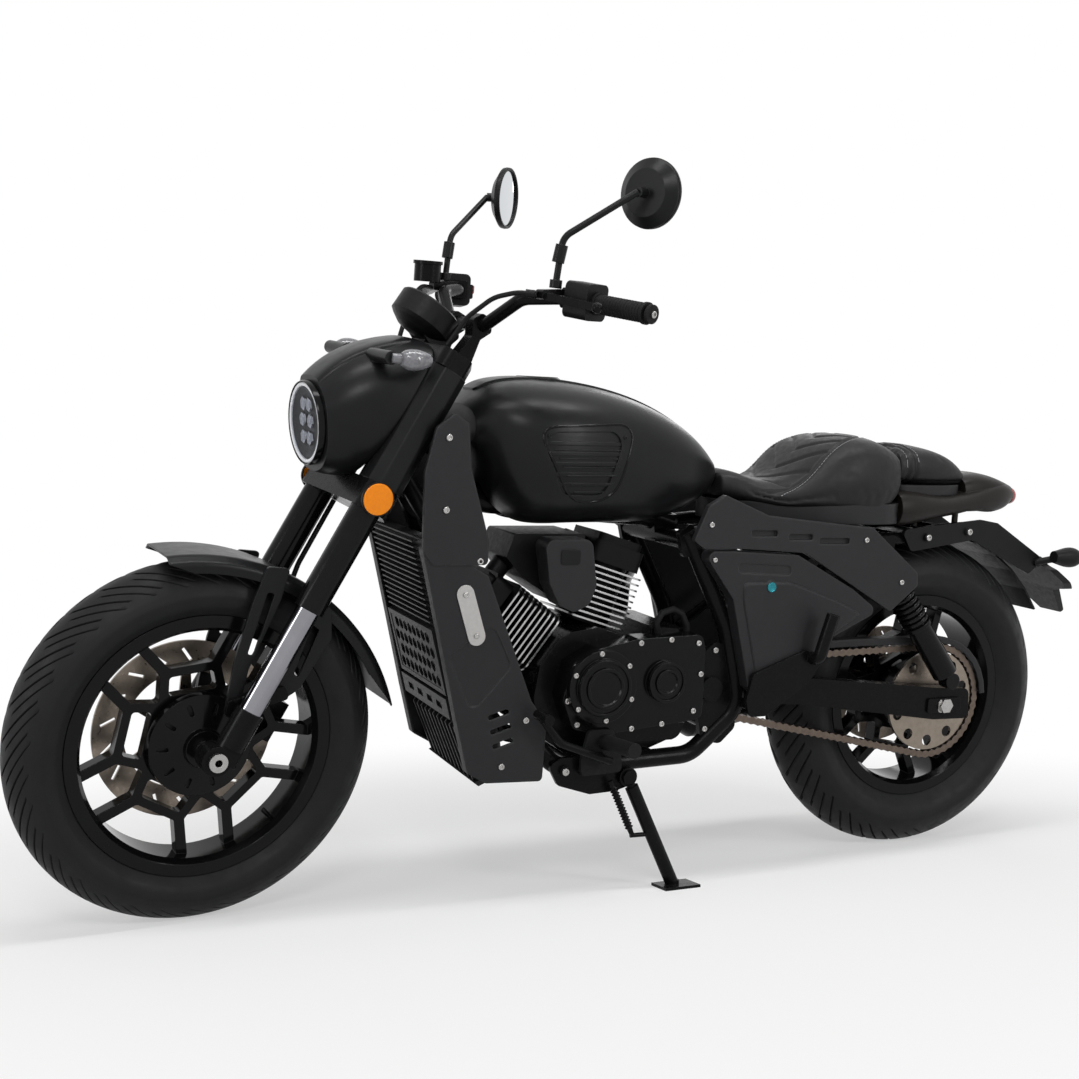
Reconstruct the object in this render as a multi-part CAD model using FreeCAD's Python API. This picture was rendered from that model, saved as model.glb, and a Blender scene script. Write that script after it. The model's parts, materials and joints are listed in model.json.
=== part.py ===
import FreeCAD, Part
import math
import os

os.makedirs("parts", exist_ok=True)
Vec = FreeCAD.Vector

# Upright machine: X forward, Y left, Z up, the ground at 0 and the rear axle at X 0. Millimetres.
wheelbase = 1425.0
rake = 29.0  # degrees of the steering axis from the vertical
fork_offset = 50.0  # front axle ahead of the steering axis
tube_offset = 37.0  # fork tubes ahead of the steering axis
leg_y = 100.0  # fork legs from the middle plane
steer_rest = 7.0  # degrees the bars are turned left as it stands
lean = 8.46  # degrees it leans left on its side stand

front_radius, front_width, front_wall = 299.0, 118.0, 95.8  # the wall is the tyre's height on its rim
rear_radius, rear_width, rear_wall = 310.5, 150.0, 120.0
front_rim, rear_rim = front_radius - front_wall, rear_radius - rear_wall
front_disc, rear_disc = 151.0, 120.0  # radii of the brake discs
disc_y = 60.0  # front brake disc from the middle, on the right
tyre_gap = 0.5  # all round between a tyre and its rim
tread_share, tread_drop = 0.88, 0.32  # of the half width to the tread's edge, and of the wall down to it
bead_share = 0.62  # of the half width out to the bead
flange_height = 13.0
axle_radius, axle_bore = 9.0, 6.0
running_gap = 0.8  # round a shaft that turns or steers
seat_gap = 0.4  # between a piece and the tube or bore that it sits on

stanchion_radius, tube_radius, foot_radius = 19.5, 25.0, 23.0
foot_top, tube_low, tube_top = 90.0, 272.0, 745.0  # along the fork from the axle
leg_inner, leg_outer = 22.0, 16.0  # faces of a fork foot inside and outside its leg line
lower_clamp = (455.0, 500.0)
upper_clamp = (715.0, 745.0)
fender_stay_y = 74.0
bar_radius = 11.0

crank = (765.0, 388.0)
front_bank, rear_bank = 37.0, 107.5  # degrees of each cylinder above the forward line
fin_count, fin_pitch, fin_thick = 10, 10.5, 3.2
chain_y, chain_pitch, rear_teeth, front_teeth = 90.0, 15.875, 43, 14
gearbox_shaft = (600.0, 372.0)
exhaust_radius = 18.0
radiator_half = 126.0
shroud_depth = 20.0
tank_tunnel_top = 726.0

frame_y, frame_tube = 114.0, 16.0
swing_pivot = (520.0, 366.0)
guard_radius = rear_radius + 21.5  # inner rear mudguard
rail_z = rear_radius + guard_radius + 2.5  # height of the seat rails, which is the tail group's zero
shock_y, shock_low_y = 108.0, 143.0
shock_top, shock_low = (141.0, rail_z - 76.0), (1.0, rear_radius + 51.5)
trim_y = 149.0
stand_pivot = (700.0, 139.5, 222.0)
stand_foot = (616.0, 181.0)  # on the ground, in the row's frame before centring
stand_radius = 12.0
peg_arms = ((785.0, 240.0, 10.0), (726.0, 244.0, 6.0))  # x, z and radius of the peg bracket's two arms

# The steered group is drawn about the front axle, and the tail group about the height of the seat rails.
front_axle_at = (0.0, 0.0, 0.0)
front_wheel_at = (wheelbase, 0.0, front_radius)
rear_axle_at = (0.0, 0.0, rear_radius)
grip_end, grip_line = (-572.0, 352.0, 735.0), (0.294, -0.952, 0.08)
rail_points = [(569, 74, 0), (470, 74, 10), (180, 74, -11), (100, 74, -15), (0, 74, 3), (-60, 74, 7)]


def vec(point):
    return Vec(*point)


def fuse(shapes):
    shapes = list(shapes)
    return shapes[0].multiFuse(shapes[1:]) if len(shapes) > 1 else shapes[0]


def rod(start, end, radius, bore=0.0):
    start, end = vec(start), vec(end)
    run = end - start
    solid = Part.makeCylinder(radius, run.Length, start, run)
    if bore:
        solid = solid.cut(Part.makeCylinder(bore, run.Length + 2, start - run * (1 / run.Length), run))
    return solid


def box(low, high):
    size = vec(high) - vec(low)
    return Part.makeBox(size.x, size.y, size.z, vec(low))


def rounded(points, radius, closed=True):
    # A line through the points with its corners turned by tangent arcs.
    count = len(points)
    edges, corners = [], []
    if not isinstance(radius, (list, tuple)):
        radius = [radius] * count
    elif not closed:
        radius = [0] + list(radius) + [0]
    for i, here in enumerate(points):
        if not closed and i in (0, count - 1):
            corners.append((here, None, here))
            continue
        back, ahead = points[i - 1] - here, points[(i + 1) % count] - here
        r = radius[i]
        half = back.getAngle(ahead) / 2
        if r <= 0 or half > math.radians(89.5):
            corners.append((here, None, here))
            continue
        setback = min(r / math.tan(half), 0.46 * back.Length, 0.46 * ahead.Length)
        r = setback * math.tan(half)
        back.normalize()
        ahead.normalize()
        middle = back + ahead
        middle.normalize()
        middle = here + middle * (r / math.sin(half) - r)
        corners.append((here + back * setback, middle, here + ahead * setback))
    for i, (start, middle, end) in enumerate(corners):
        if middle is not None:
            edges.append(Part.Arc(start, middle, end).toShape())
        if i + 1 < count or closed:
            edges.append(Part.makeLine(end, corners[(i + 1) % count][0]))
    return Part.Wire(edges)


def pipe(points, radius, bend):
    # A round bar along a line whose corners are bent.
    points = [vec(p) for p in points]
    path = rounded(points, bend, closed=False)
    ring = Part.Wire(Part.makeCircle(radius, points[0], points[1] - points[0]))
    return path.makePipeShell([ring], True, False)


def slab(points, y0, y1, radius=0.0):
    # An outline seen from the side, pulled across the machine.
    wire = rounded([Vec(x, y0, z) for x, z in points], radius)
    return Part.Face(wire).extrude(Vec(0, y1 - y0, 0))


def oval(x, low, high, half, power=2.6, count=16, middle=0.0):
    # A closed smooth cross-section in the plane X.
    points = []
    for i in range(count):
        a = 2 * math.pi * (i + 0.5) / count
        c, s = math.cos(a), math.sin(a)
        y = half * math.copysign(abs(c) ** (2 / power), c)
        z = (high - low) / 2 * math.copysign(abs(s) ** (2 / power), s)
        points.append(Vec(x, middle + y, (low + high) / 2 + z))
    curve = Part.BSplineCurve()
    curve.interpolate(points, PeriodicFlag=True)
    return Part.Wire(curve.toShape())


def loft(wires):
    # A smooth body through cross-sections.
    return Part.makeLoft(wires, True, False)


def turned(profile, centre):
    # A profile of (y, radius) points turned about an axle across the machine.
    wire = Part.makePolygon([Vec(centre[0], y, centre[2] + r) for y, r in profile + profile[:1]])
    return Part.Face(wire).revolve(vec(centre), Vec(0, 1, 0), 360)


def other_side(shape):
    return shape.mirror(Vec(0, 0, 0), Vec(0, 1, 0))


def both(shape):
    # A left piece with its twin on the right.
    return Part.makeCompound([shape, other_side(shape)])


def spin(shape, centre, axis, angle):
    shape = shape.copy()
    shape.rotate(vec(centre), vec(axis), angle)
    return shape


along = Vec(-math.sin(math.radians(rake)), 0, math.cos(math.radians(rake)))
ahead = Vec(math.cos(math.radians(rake)), 0, math.sin(math.radians(rake)))


def fork(s, n, y=0.0):
    # A point of the steered group: s up the fork from the axle, n ahead of the steering axis.
    return vec(front_axle_at) + along * s + ahead * (n - fork_offset) + Vec(0, y, 0)


def fork_rod(s0, s1, n, y, radius, bore=0.0):
    return rod(fork(s0, n, y), fork(s1, n, y), radius, bore)


def fork_box(s0, s1, n0, n1, y0, y1):
    corner = fork(s0, n0, y0)
    wire = Part.makePolygon([corner, corner + ahead * (n1 - n0),
                             corner + ahead * (n1 - n0) + Vec(0, y1 - y0, 0),
                             corner + Vec(0, y1 - y0, 0), corner])
    return Part.Face(wire).extrude(along * (s1 - s0))


def fork_plate(points, s0, s1, radius=0.0):
    # An outline of (n, y) points pulled along the fork.
    wire = rounded([fork(s0, n, y) for n, y in points], radius)
    return Part.Face(wire).extrude(along * (s1 - s0))


def tyre(centre, radius, width, rim):
    half = width / 2
    seat = rim + tyre_gap
    bead = half * bead_share
    wall = radius - rim
    edge, drop = half * tread_share, wall * tread_drop
    crown = Part.Arc(Vec(0, -edge, radius - drop), Vec(0, 0, radius), Vec(0, edge, radius - drop)).toShape()
    side = Part.Arc(Vec(0, edge, radius - drop), Vec(0, half, radius - wall * 0.5),
                    Vec(0, half * 0.9, rim + wall * 0.27)).toShape()
    low = [(half * 0.9, rim + wall * 0.27), (bead + 5, rim + flange_height + 1),
           (bead, rim + flange_height + 1),
           (bead, seat), (-bead, seat), (-bead, rim + flange_height + 1),
           (-bead - 5, rim + flange_height + 1),
           (-half * 0.9, rim + wall * 0.27)]
    lines = [Part.makeLine(Vec(0, *low[i]), Vec(0, *low[i + 1])) for i in range(len(low) - 1)]
    far = side.mirror(Vec(0, 0, 0), Vec(0, 1, 0))
    wire = Part.Wire(Part.__sortEdges__([crown, side] + lines + [far]))
    solid = Part.Face(wire).revolve(Vec(0, 0, 0), Vec(0, 1, 0), 360)
    solid.translate(vec(centre))
    return solid


def rim_ring(centre, rim, width):
    bead = width / 2 * bead_share
    lip = bead + 6
    profile = [(-lip, rim + flange_height), (-bead, rim + flange_height), (-bead, rim), (-bead + 12, rim - 3),
               (bead - 12, rim - 3), (bead, rim), (bead, rim + flange_height), (lip, rim + flange_height),
               (lip, rim - 7), (lip - 12, rim - 14), (-lip + 12, rim - 14), (-lip, rim - 7)]
    return turned(profile, centre)


def front_wheel_casting():
    x, _, z = front_axle_at
    bore = axle_radius + running_gap
    hub = turned([(-52, 30), (-52, bore), (52, bore), (52, 30), (44, 33), (40, 50), (32, 84), (20, 86),
                  (14, 80),
                  (-14, 46), (-34, 36)], front_axle_at)
    slot = slab([(x - 3.5, z + 54), (x + 3.5, z + 54), (x + 3.5, z + 72), (x - 3.5, z + 72)], 32, 48, 3)
    hub = hub.cut(ring_of(slot, front_axle_at, 10, 18))
    ring = rim_ring(front_axle_at, front_rim, front_width)
    arms = cast_arms(front_axle_at, front_rim - 14, 12, 42.5)
    valve = spin(rod((x, 14, z + front_rim - 32), (x, 14, z + front_rim - 12), 4), front_axle_at, (0, 1, 0),
                 222)
    return fuse([ring, arms.cut(rod((x, -60, z), (x, 60, z), 29)), hub, valve])


def rear_wheel_casting():
    x, _, z = rear_axle_at
    bore = axle_radius + running_gap
    hub = turned([(-56, 32), (-56, bore), (56, bore), (56, 32), (50, 62), (36, 74), (24, 74), (14, 60),
                  (-14, 46),
                  (-34, 40)], rear_axle_at)
    ring = rim_ring(rear_axle_at, rear_rim, rear_width)
    arms = cast_arms(rear_axle_at, rear_rim - 14, 14, 60.2)
    return fuse([ring, arms.cut(rod((x, -60, z), (x, 60, z), 31)), hub])


def front_brake_disc():
    x, _, z = front_axle_at
    ring = slotted_disc(front_axle_at, -disc_y, front_disc, front_disc - 51, 18)
    arm = slab([(x - 13, z + 30), (x + 13, z + 30), (x + 7, z + front_disc - 47),
                (x - 7, z + front_disc - 47)],
               -disc_y - 2.5, -disc_y + 2.5)
    seat = rod((x, -disc_y - 2.5, z), (x, -52, z), 38, axle_radius + running_gap)
    return fuse([ring, seat] + ring_of(arm, front_axle_at, 6).Solids)


def rear_drive_plates():
    # Sprocket on the left of the hub and brake disc on its right.
    x, _, z = rear_axle_at
    pitch_radius = chain_pitch / (2 * math.sin(math.pi / rear_teeth))
    ring = slotted_disc(rear_axle_at, -66, rear_disc, rear_disc - 38, 14)
    arm = slab([(x - 12, z + 30), (x + 12, z + 30), (x + 7, z + rear_disc - 34), (x - 7, z + rear_disc - 34)],
               -68.5, -63.5)
    right = fuse([ring, rod((x, -68.5, z), (x, -56, z), 38, axle_radius + running_gap)]
                 + ring_of(arm, rear_axle_at, 5).Solids)
    hole = rod((x, chain_y - 5, z + 81), (x, chain_y + 5, z + 81), 11)
    plate = rod((x, chain_y - 3, z), (x, chain_y + 3, z), pitch_radius - 9, 60)
    plate = plate.cut(ring_of(hole, rear_axle_at, 10))
    left = fuse([plate, rod((x, 56, z), (x, chain_y + 3, z), 64, axle_radius + running_gap)])
    return Part.makeCompound([left, right])


def front_axle():
    x, _, z = front_axle_at
    shaft = rod((x, -116, z), (x, 116, z), axle_radius)
    outer, inner = leg_y + leg_outer, leg_y - leg_inner
    ends = [rod((x, s * outer, z), (x, s * (outer + 8), z), 15) for s in (1, -1)]
    spacers = [rod((x, 53, z), (x, inner, z), 15), rod((x, -inner, z), (x, -disc_y - 4, z), 15)]
    return fuse([shaft] + ends + spacers).cut(rod((x, -140, z), (x, 140, z), axle_bore))


def rear_axle():
    # The shaft with its spacers, nuts and the two chain adjuster plates.
    x, _, z = rear_axle_at
    shaft = rod((x, -142, z), (x, 142, z), axle_radius)
    nuts = [hexagon((x, s * 136, z), 8 * s, 15) for s in (1, -1)]
    plates = [slab([(x - 40, z - 14), (x + 40, z - 14), (x + 40, z + 14), (x - 40, z + 14)], s * 131.3,
                   s * 136, 5)
              for s in (1, -1)]
    spacers = [rod((x, 95.5, z), (x, 103.6, z), 15), rod((x, -103.6, z), (x, -70, z), 15)]
    return fuse([shaft] + nuts + plates + spacers)


def fork_feet():
    y = leg_y
    leg = fuse([fork_rod(0, foot_top, tube_offset, y, foot_radius), rod(fork(0, fork_offset, y - leg_inner),
                                                               fork(0, fork_offset, y + leg_outer), 24)])
    leg = leg.cut(fork_box(-40, 27, -10, 110, y + leg_outer, y + 40))
    leg = leg.cut(fork_box(-40, 27, -10, 110, y - 40, y - leg_inner))
    leg = leg.cut(rod(fork(0, fork_offset, y - 30), fork(0, fork_offset, y + 30), axle_radius + seat_gap))
    lug = slab([(-21, 57), (-26, 85), (-119, 103), (-127, 81)], fender_stay_y, 80, 6)
    return both(fuse([leg, lug]))


def fork_stanchions():
    return both(fork_rod(foot_top, tube_low, tube_offset, leg_y, stanchion_radius))


def fork_tubes():
    return both(fork_rod(tube_low, tube_top, tube_offset, leg_y, tube_radius))


def clamp(s0, s1):
    # One fork clamp, open round both tubes.
    outline = [(-28, 40), (-28, -40), (-20, -66), (16, -128), (66, -130), (66, 130), (16, 128), (-20, 66)]
    plate = fork_plate(outline, s0, s1, [10, 10, 20, 18, 18, 18, 18, 20])
    for side in (1, -1):
        plate = plate.cut(fork_rod(s0 - 5, s1 + 5, tube_offset, side * leg_y, tube_radius + seat_gap))
    return plate


def triple_clamps():
    stem = fork_rod(lower_clamp[1] - 20, upper_clamp[0] + 5, 0, 0, 14)
    nut = fork_rod(upper_clamp[1], upper_clamp[1] + 12, 0, 0, 20)
    return fuse([clamp(*lower_clamp), clamp(*upper_clamp), stem, nut] + bar_clamps())


def fork_covers():
    outline = [(2, 74), (64, 74), (66, 90), (66, 112), (50, 129), (20, 129), (0, 112)]
    cover = fork_plate(outline, lower_clamp[1], upper_clamp[0], 10)
    cover = cover.cut(fork_rod(lower_clamp[1] - 5, upper_clamp[0] + 5, tube_offset, leg_y,
                               tube_radius + seat_gap))
    return both(cover)


def frame_spine():
    bone = pipe([(wheelbase - 363, 0, front_radius + 501), (960, 0, 692), (620, 0, rail_z + 23),
                 (560, 0, rail_z + 5)], 21, 90)
    gusset = slab([by_axle(-325, 501), by_axle(-295, 436), by_axle(-350, 391), (1000, 700), (1010, 745)], -24,
                  24, 6)
    reach = frame_y - 6
    top = rail_z - 13
    cross = [rod((590, -reach, top), (590, reach, top), 15), rod((492, -reach, 284), (492, reach, 284), 12),
             rod((swing_pivot[0], -reach, swing_pivot[1]), (swing_pivot[0], reach, swing_pivot[1]), 10)]
    drop = slab([(560, top + 38), (610, top + 38), (602, top - 12), (578, top - 12)], -20, 20)
    pads = [rod((x, 0, 680), (x, 0, tank_tunnel_top - seat_gap), 11) for x in (640, 900)]
    tube = at_head(fork_rod(lower_clamp[1] + 0.5, upper_clamp[0] - 0.5, 0, 0, 29))
    body = fuse([tube, bone, gusset, drop] + cross + pads)
    body = body.cut(at_head(fork_rod(480, 730, 0, 0, 16)))
    run = frame_tube_run(seat_gap)
    return body.cut(run.cut(box((900, -100, 400), (1300, 60, 900)))).cut(other_side(run))


def frame_side():
    # The left cradle tube with its pivot plate, upper ear and engine bosses.
    y = frame_y
    plate = slab([(470, 330), (470, 290), (500, 262), (540, 270), (552, 330), (556, 370), (548, 430),
                  (520, 452), (490, 440)], y - 6, y + 6, 14)
    head = slab([(566, rail_z - 35), (600, rail_z - 41), (612, rail_z + 5), (585, rail_z + 23)], y - 6, y + 6,
                8)
    plug = rod((swing_pivot[0] + 8, y + 6, 366), (swing_pivot[0] + 8, y + 14, 366), 22)
    boss = [rod((x, y, 240), (x, y + frame_tube + 0.5, 240), 11) for x in (822, 748)]
    return fuse([frame_tube_run(), plate, head, plug] + boss)


def seat_subframe():
    # The seat rails with their struts, crossbars, trim posts and the pads under the seat.
    rail = pipe(rail_points, 12, 90)
    strut = pipe([(200, 76, -11), (330, 92, -105), (474, 97, 440 - rail_z)], 9, 40)
    top = shock_top[1] - rail_z
    hang = slab([(112, -5), (168, -9), (160, top - 13), (122, top - 13)], 82, 90, 6)
    stud = rod((shock_top[0], 84, top), (shock_top[0], shock_y - 14, top), 8)
    trim_posts = [rod((x, 74, z), (x, trim_y, z), 6) for x, z in ((480, 11), (200, -12))]
    seat = rider_seat()
    seat.translate(Vec(0, 0, -seat_gap))
    pads = [piece_nearest(rod((x, 70, 0), (x, 70, 115), 9).cut(seat), (x, 70, 0)) for x in (420, 200)]
    side = fuse([rail, strut, hang, stud, rod((560, 74, 0), (560, 112, 0), 9)] + trim_posts + pads)
    reach = guard_radius + seat_gap + 8
    cross = []
    for x in (0.0, 100.0):
        z = rear_radius + math.sqrt(reach ** 2 - x ** 2) - rail_z
        cross.append(rod((x, -74, z), (x, 74, z), 8))
    body = fuse([side, other_side(side), rod((400, -74, 5), (400, 74, 5), 9)] + cross)
    body = body.cut(rod((590, -120, -13), (590, 120, -13), 15 + seat_gap))
    tube = at_tail(frame_tube_run(seat_gap))
    return body.cut(tube).cut(other_side(tube)).cut(both(box((540, 107.6, -45), (620, 130, 35))))


def swingarm():
    x, z = swing_pivot
    side = slab([(x + 20, z - 22), (x + 20, z + 22), (x - 100, z + 22), (20, rear_radius + 34.5),
                 (-62, rear_radius + 29.5), (-66, rear_radius - 30.5), (20, rear_radius - 28.5),
                 (330, z - 38)], 0, 140, 14)
    plan = [(x + 22, 60), (x + 22, 96), (440, 96), (404, 131), (-70, 131), (-70, 104), (390, 104), (420, 84),
            (440, 60)]
    wire = Part.makePolygon([Vec(px, py, 100) for px, py in plan + plan[:1]])
    arm = side.common(Part.Face(wire).extrude(Vec(0, 0, 400)))
    slot = slab([(-34, rear_radius - 10), (34, rear_radius - 10), (34, rear_radius + 10),
                 (-34, rear_radius + 10)],
                128, 140, 9)
    arm = arm.cut(slot).cut(rod((0, 100, rear_radius), (0, 140, rear_radius), axle_radius + seat_gap))
    tube = rod((x, -96, z), (x, 96, z), 22)
    cross = box((422, -84, z - 22), (452, 84, z + 18))
    body = fuse([arm, other_side(arm), tube, cross])
    return body.cut(rod((x, -120, z), (x, 120, z), 10 + seat_gap))


def chain_loop():
    # Side plates as one scalloped band, with the rollers' pitch, on both sprockets' pitch circles.
    big = chain_pitch / (2 * math.sin(math.pi / rear_teeth))
    small = chain_pitch / (2 * math.sin(math.pi / front_teeth))
    a, b = Vec(0, 0, rear_radius), Vec(gearbox_shaft[0], 0, gearbox_shaft[1])
    span = b - a
    base = math.atan2(span.z, span.x)
    tilt = math.asin((big - small) / span.Length)
    run = math.sqrt(span.Length ** 2 - (big - small) ** 2)
    top, low = base + math.pi / 2 - tilt, base - math.pi / 2 + tilt
    arc_big, arc_small = big * (2 * math.pi - (top - low)), small * (top - low)
    total = arc_big + arc_small + 2 * run
    count = int(round(total / chain_pitch / 2)) * 2

    def at(distance, out):
        distance %= total
        if distance < arc_big:
            angle = top + distance / big
            return a + Vec(math.cos(angle), 0, math.sin(angle)) * (big + out)
        distance -= arc_big
        if distance < run:
            start = a + Vec(math.cos(low), 0, math.sin(low)) * (big + out)
            end = b + Vec(math.cos(low), 0, math.sin(low)) * (small + out)
            return start + (end - start) * (distance / run)
        distance -= run
        if distance < arc_small:
            angle = low + distance / small
            return b + Vec(math.cos(angle), 0, math.sin(angle)) * (small + out)
        distance -= arc_small
        start = b + Vec(math.cos(top), 0, math.sin(top)) * (small + out)
        end = a + Vec(math.cos(top), 0, math.sin(top)) * (big + out)
        return start + (end - start) * (distance / run)

    return at, total, count


def drive_chain():
    at, total, count = chain_loop()
    half = 7.4
    rings = []
    for sign in (1, -1):
        points = []
        for i in range(count):
            for part, reach in ((0.0, half), (0.5, half * 0.62)):
                p = at((i + part) * total / count, sign * reach)
                points.append(Vec(p.x, chain_y - 6.5, p.z))
        rings.append(Part.Face(Part.makePolygon(points + points[:1])))
    return rings[0].cut(rings[1]).extrude(Vec(0, 13, 0))


def chain_guard():
    big = chain_pitch / (2 * math.sin(math.pi / rear_teeth)) + 17
    outer, inner = [], []
    for i in range(8):
        angle = math.radians(175 - i * 11.5)
        outer.append(((big + 3) * math.cos(angle), rear_radius + (big + 3) * math.sin(angle)))
        inner.append((big * math.cos(angle), rear_radius + big * math.sin(angle)))
    outer += [(200, 442), (400, 436)]
    inner += [(200, 439), (400, 433)]
    top = slab(outer + inner[::-1], 80, 101)
    side = slab(outer + [(400, 424), (200, 428)] + [(x * 0.93, rear_radius + (z - rear_radius) * 0.93)
                                                   for x, z in inner[:8][::-1]], 101, 103)
    foot = slab([(330, 436), (370, 434), (372, 383.3), (334, 379.3)], 101, 108)
    return fuse([top, side, foot])


def shock():
    # The left damper: eyes, spring seats and the coils as waves of its outline.
    (tx, tz), (lx, lz) = shock_top, shock_low
    top, low = Vec(tx, shock_y, tz), Vec(lx, shock_low_y, lz)
    length = (low - top).Length
    eyes = [rod((tx, shock_y - 14, tz), (tx, shock_y + 16, tz), 16),
            rod((lx, 131.4, lz), (lx, shock_low_y + 13, lz), 16)]
    profile = [(0, 0), (0, 13), (24, 13), (24, 20), (31, 20), (31, 28), (38, 28), (38, 21)]
    for k in range(7):
        t = 44.5 + 11.0 * k
        profile += [(t - 5, 21), (t - 3, 26.5), (t, 28), (t + 3, 26.5), (t + 5, 21)]
    profile += [(118, 21), (118, 28), (125, 28), (125, 24), (length - 16, 24), (length - 16, 11),
                (length, 11),
                (length, 0)]
    return fuse(eyes + [spun(profile, top, low)])


def shock_bodies():
    return both(shock())


def bank_point(angle, out, across=0.0, y=0.0):
    a = math.radians(angle)
    return Vec(crank[0] + out * math.cos(a) - across * math.sin(a), y,
               crank[1] + out * math.sin(a) + across * math.cos(a))


def bank_block(angle, out0, out1, across, half_y, corner):
    # A rounded block of a cylinder bank, from out0 to out1 along it.
    points = [bank_point(angle, out0, s * across, t * half_y)
              for s, t in ((1, 1), (1, -1), (-1, -1), (-1, 1))]
    wire = rounded(points, corner)
    a = math.radians(angle)
    return Part.Face(wire).extrude(Vec(math.cos(a), 0, math.sin(a)) * (out1 - out0))


def cylinder(angle):
    # Barrel with its fins, head and cover; the front one makes room for the front exhaust pipe.
    barrel = rod(bank_point(angle, 92), bank_point(angle, 205), 50)
    fins = [bank_block(angle, 98 + fin_pitch * k, 98 + fin_pitch * k + fin_thick, 58, 74, 16)
            for k in range(fin_count)]
    head = bank_block(angle, 203, 240, 50, 66, 14)
    cover = bank_block(angle, 240, 254, 44, 60, 12)
    body = fuse([barrel, head, cover] + fins)
    if angle == front_bank:
        body = body.cut(front_pipe(1.5).cut(bank_block(angle, 160, 300, 50, 66, 14)))
    return body


def crankcase():
    case = slab([(552, 330), (575, 275), (640, 252), (790, 250), (850, 290), (868, 360), (858, 420),
                 (846, 452),
                 (800, 474), (720, 484), (640, 478), (556, 470)], -100, 100, 22)
    for angle in (front_bank, rear_bank):
        case = case.cut(bank_block(angle, 92, 300, 90, 120, 4))
    sump = slab([(600, 262), (630, 238), (780, 238), (800, 262)], -60, 60, 8)
    case = case.cut(both(box((500, 92, 200), (900, 130, 270)))).cut(box((500, 78, 300), (652, 130, 440)))
    x, z = gearbox_shaft
    sprocket = rod((x, 70, z), (x, chain_y + 6, z),
                   chain_pitch / (2 * math.sin(math.pi / front_teeth)) - 7.4 - seat_gap)
    mounts = [rod((x, -112, 250), (x, 112, 250), 9) for x in (640, 790)]
    run = frame_tube_run(seat_gap)
    body = fuse([case, sump, sprocket] + mounts).cut(run).cut(other_side(run))
    return max(body.Solids, key=lambda s: s.Volume)


def cover_left():
    shell = slab([(559, 318), (761, 300), (812, 314), (834, 367), (818, 428), (771, 452), (694, 467),
                  (566, 471),
                  (558, 443), (557, 352)], 100, 146, 14)
    x, z = crank
    disc = fuse([rod((x, 140, z), (x, 160, z), 64), rod((x, 160, z), (x, 167, z), 50)])
    small = rod((638, 140, 390), (638, 156, 390), 37)
    return fuse([shell, disc, small])


def cover_right():
    shell = slab([(562, 330), (600, 290), (770, 286), (830, 320), (845, 380), (820, 440), (760, 462),
                  (600, 462),
                  (560, 430)], -140, -100, 26)
    clutch = rod((690, -160, 378), (690, -138, 378), 70)
    return fuse([shell, clutch])


def horn_cover():
    shell = slab([(878, 640), (790, 640), (778, 560), (790, 528), (818, 515), (846, 528), (866, 565)], 92,
                 138, 16)
    return fuse([shell, rod((826, 60, 596), (826, 92, 596), 12)])


def intake_box():
    body = slab([(800, 512), (880, 562), (914, 600), (900, 640), (764, 640), (777, 580)], -60, 60, 6)
    stubs = []
    for angle, side in ((front_bank, 50), (rear_bank, -50)):
        start = bank_point(angle, 222, side)
        stubs.append(rod(start, bank_point(angle, 222, side * 1.7), 18))
    return fuse([body] + stubs)


def exhaust_pipes():
    rear = pipe([(660, -30, 592), (608, -60, 574), (570, -162, 520), (575, -166, 330), (600, -163, 204)],
                exhaust_radius, [30, 40, 60])
    heads = [bank_block(angle, 160, 300, 50, 66, 14) for angle in (front_bank, rear_bank)]
    start, run = Vec(430, -176, 232), Vec(-140, -11, 26)
    silencer = spun([(-20, 0), (-20, 20), (4, 24), (30, 46), (40, 48), (360, 48), (374, 42), (374, 26),
                     (330, 24),
                     (330, 0)], start, start + run)
    body = fuse([front_pipe(), rear, silencer])
    for head in heads:
        body = body.cut(head)
    return max(body.Solids, key=lambda s: s.Volume)


def radiator():
    # The core with its fins, the grille in its frame, the slotted shelf, the lower slats and the lugs.
    core = slab([(1094, 640), (1060, 640), (970, 325), (928, 236), (962, 226), (1009, 330)],
                -radiator_half, radiator_half, 3)
    fins = [radiator_block(v, v + 2.5, -12, 1.5, -106, 106) for v in range(172, 316, 10)]
    frame = radiator_block(46, 162, -12, 4, -112, 112).cut(radiator_block(54, 154, -4, 9, -104, 104))
    mesh = honeycomb(54, 154, 104, 0.5, 3, 19, 3)
    shelf = radiator_block(4, 40, -12, 6, -112, 112)
    shelf = shelf.cut(Part.makeCompound([radiator_block(16, 28, 2, 9, y - 13, y + 13)
                                         for y in (-70, -24, 24, 70)]))
    slats = [slab([(958, 232), (974, 224), (1014, 318), (1004, 330)], y - 2, y + 2)
             for y in range(-100, 101, 20)]
    sill = slab([(950, 236), (976, 222), (968, 216), (940, 228)], -112, 112)
    tube = frame_tube_run(seat_gap)
    lugs = []
    for x0, x1, y, z in ((1042, 990, 86, 560), (982, 897, 97, 350)):
        lug = piece_nearest(rod((x0, y, z), (x1, y, z), 7).cut(tube), (x0, y, z))
        lugs += [lug, other_side(lug)]
    return fuse([core, frame, mesh, shelf, sill] + fins + slats + lugs)


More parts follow.
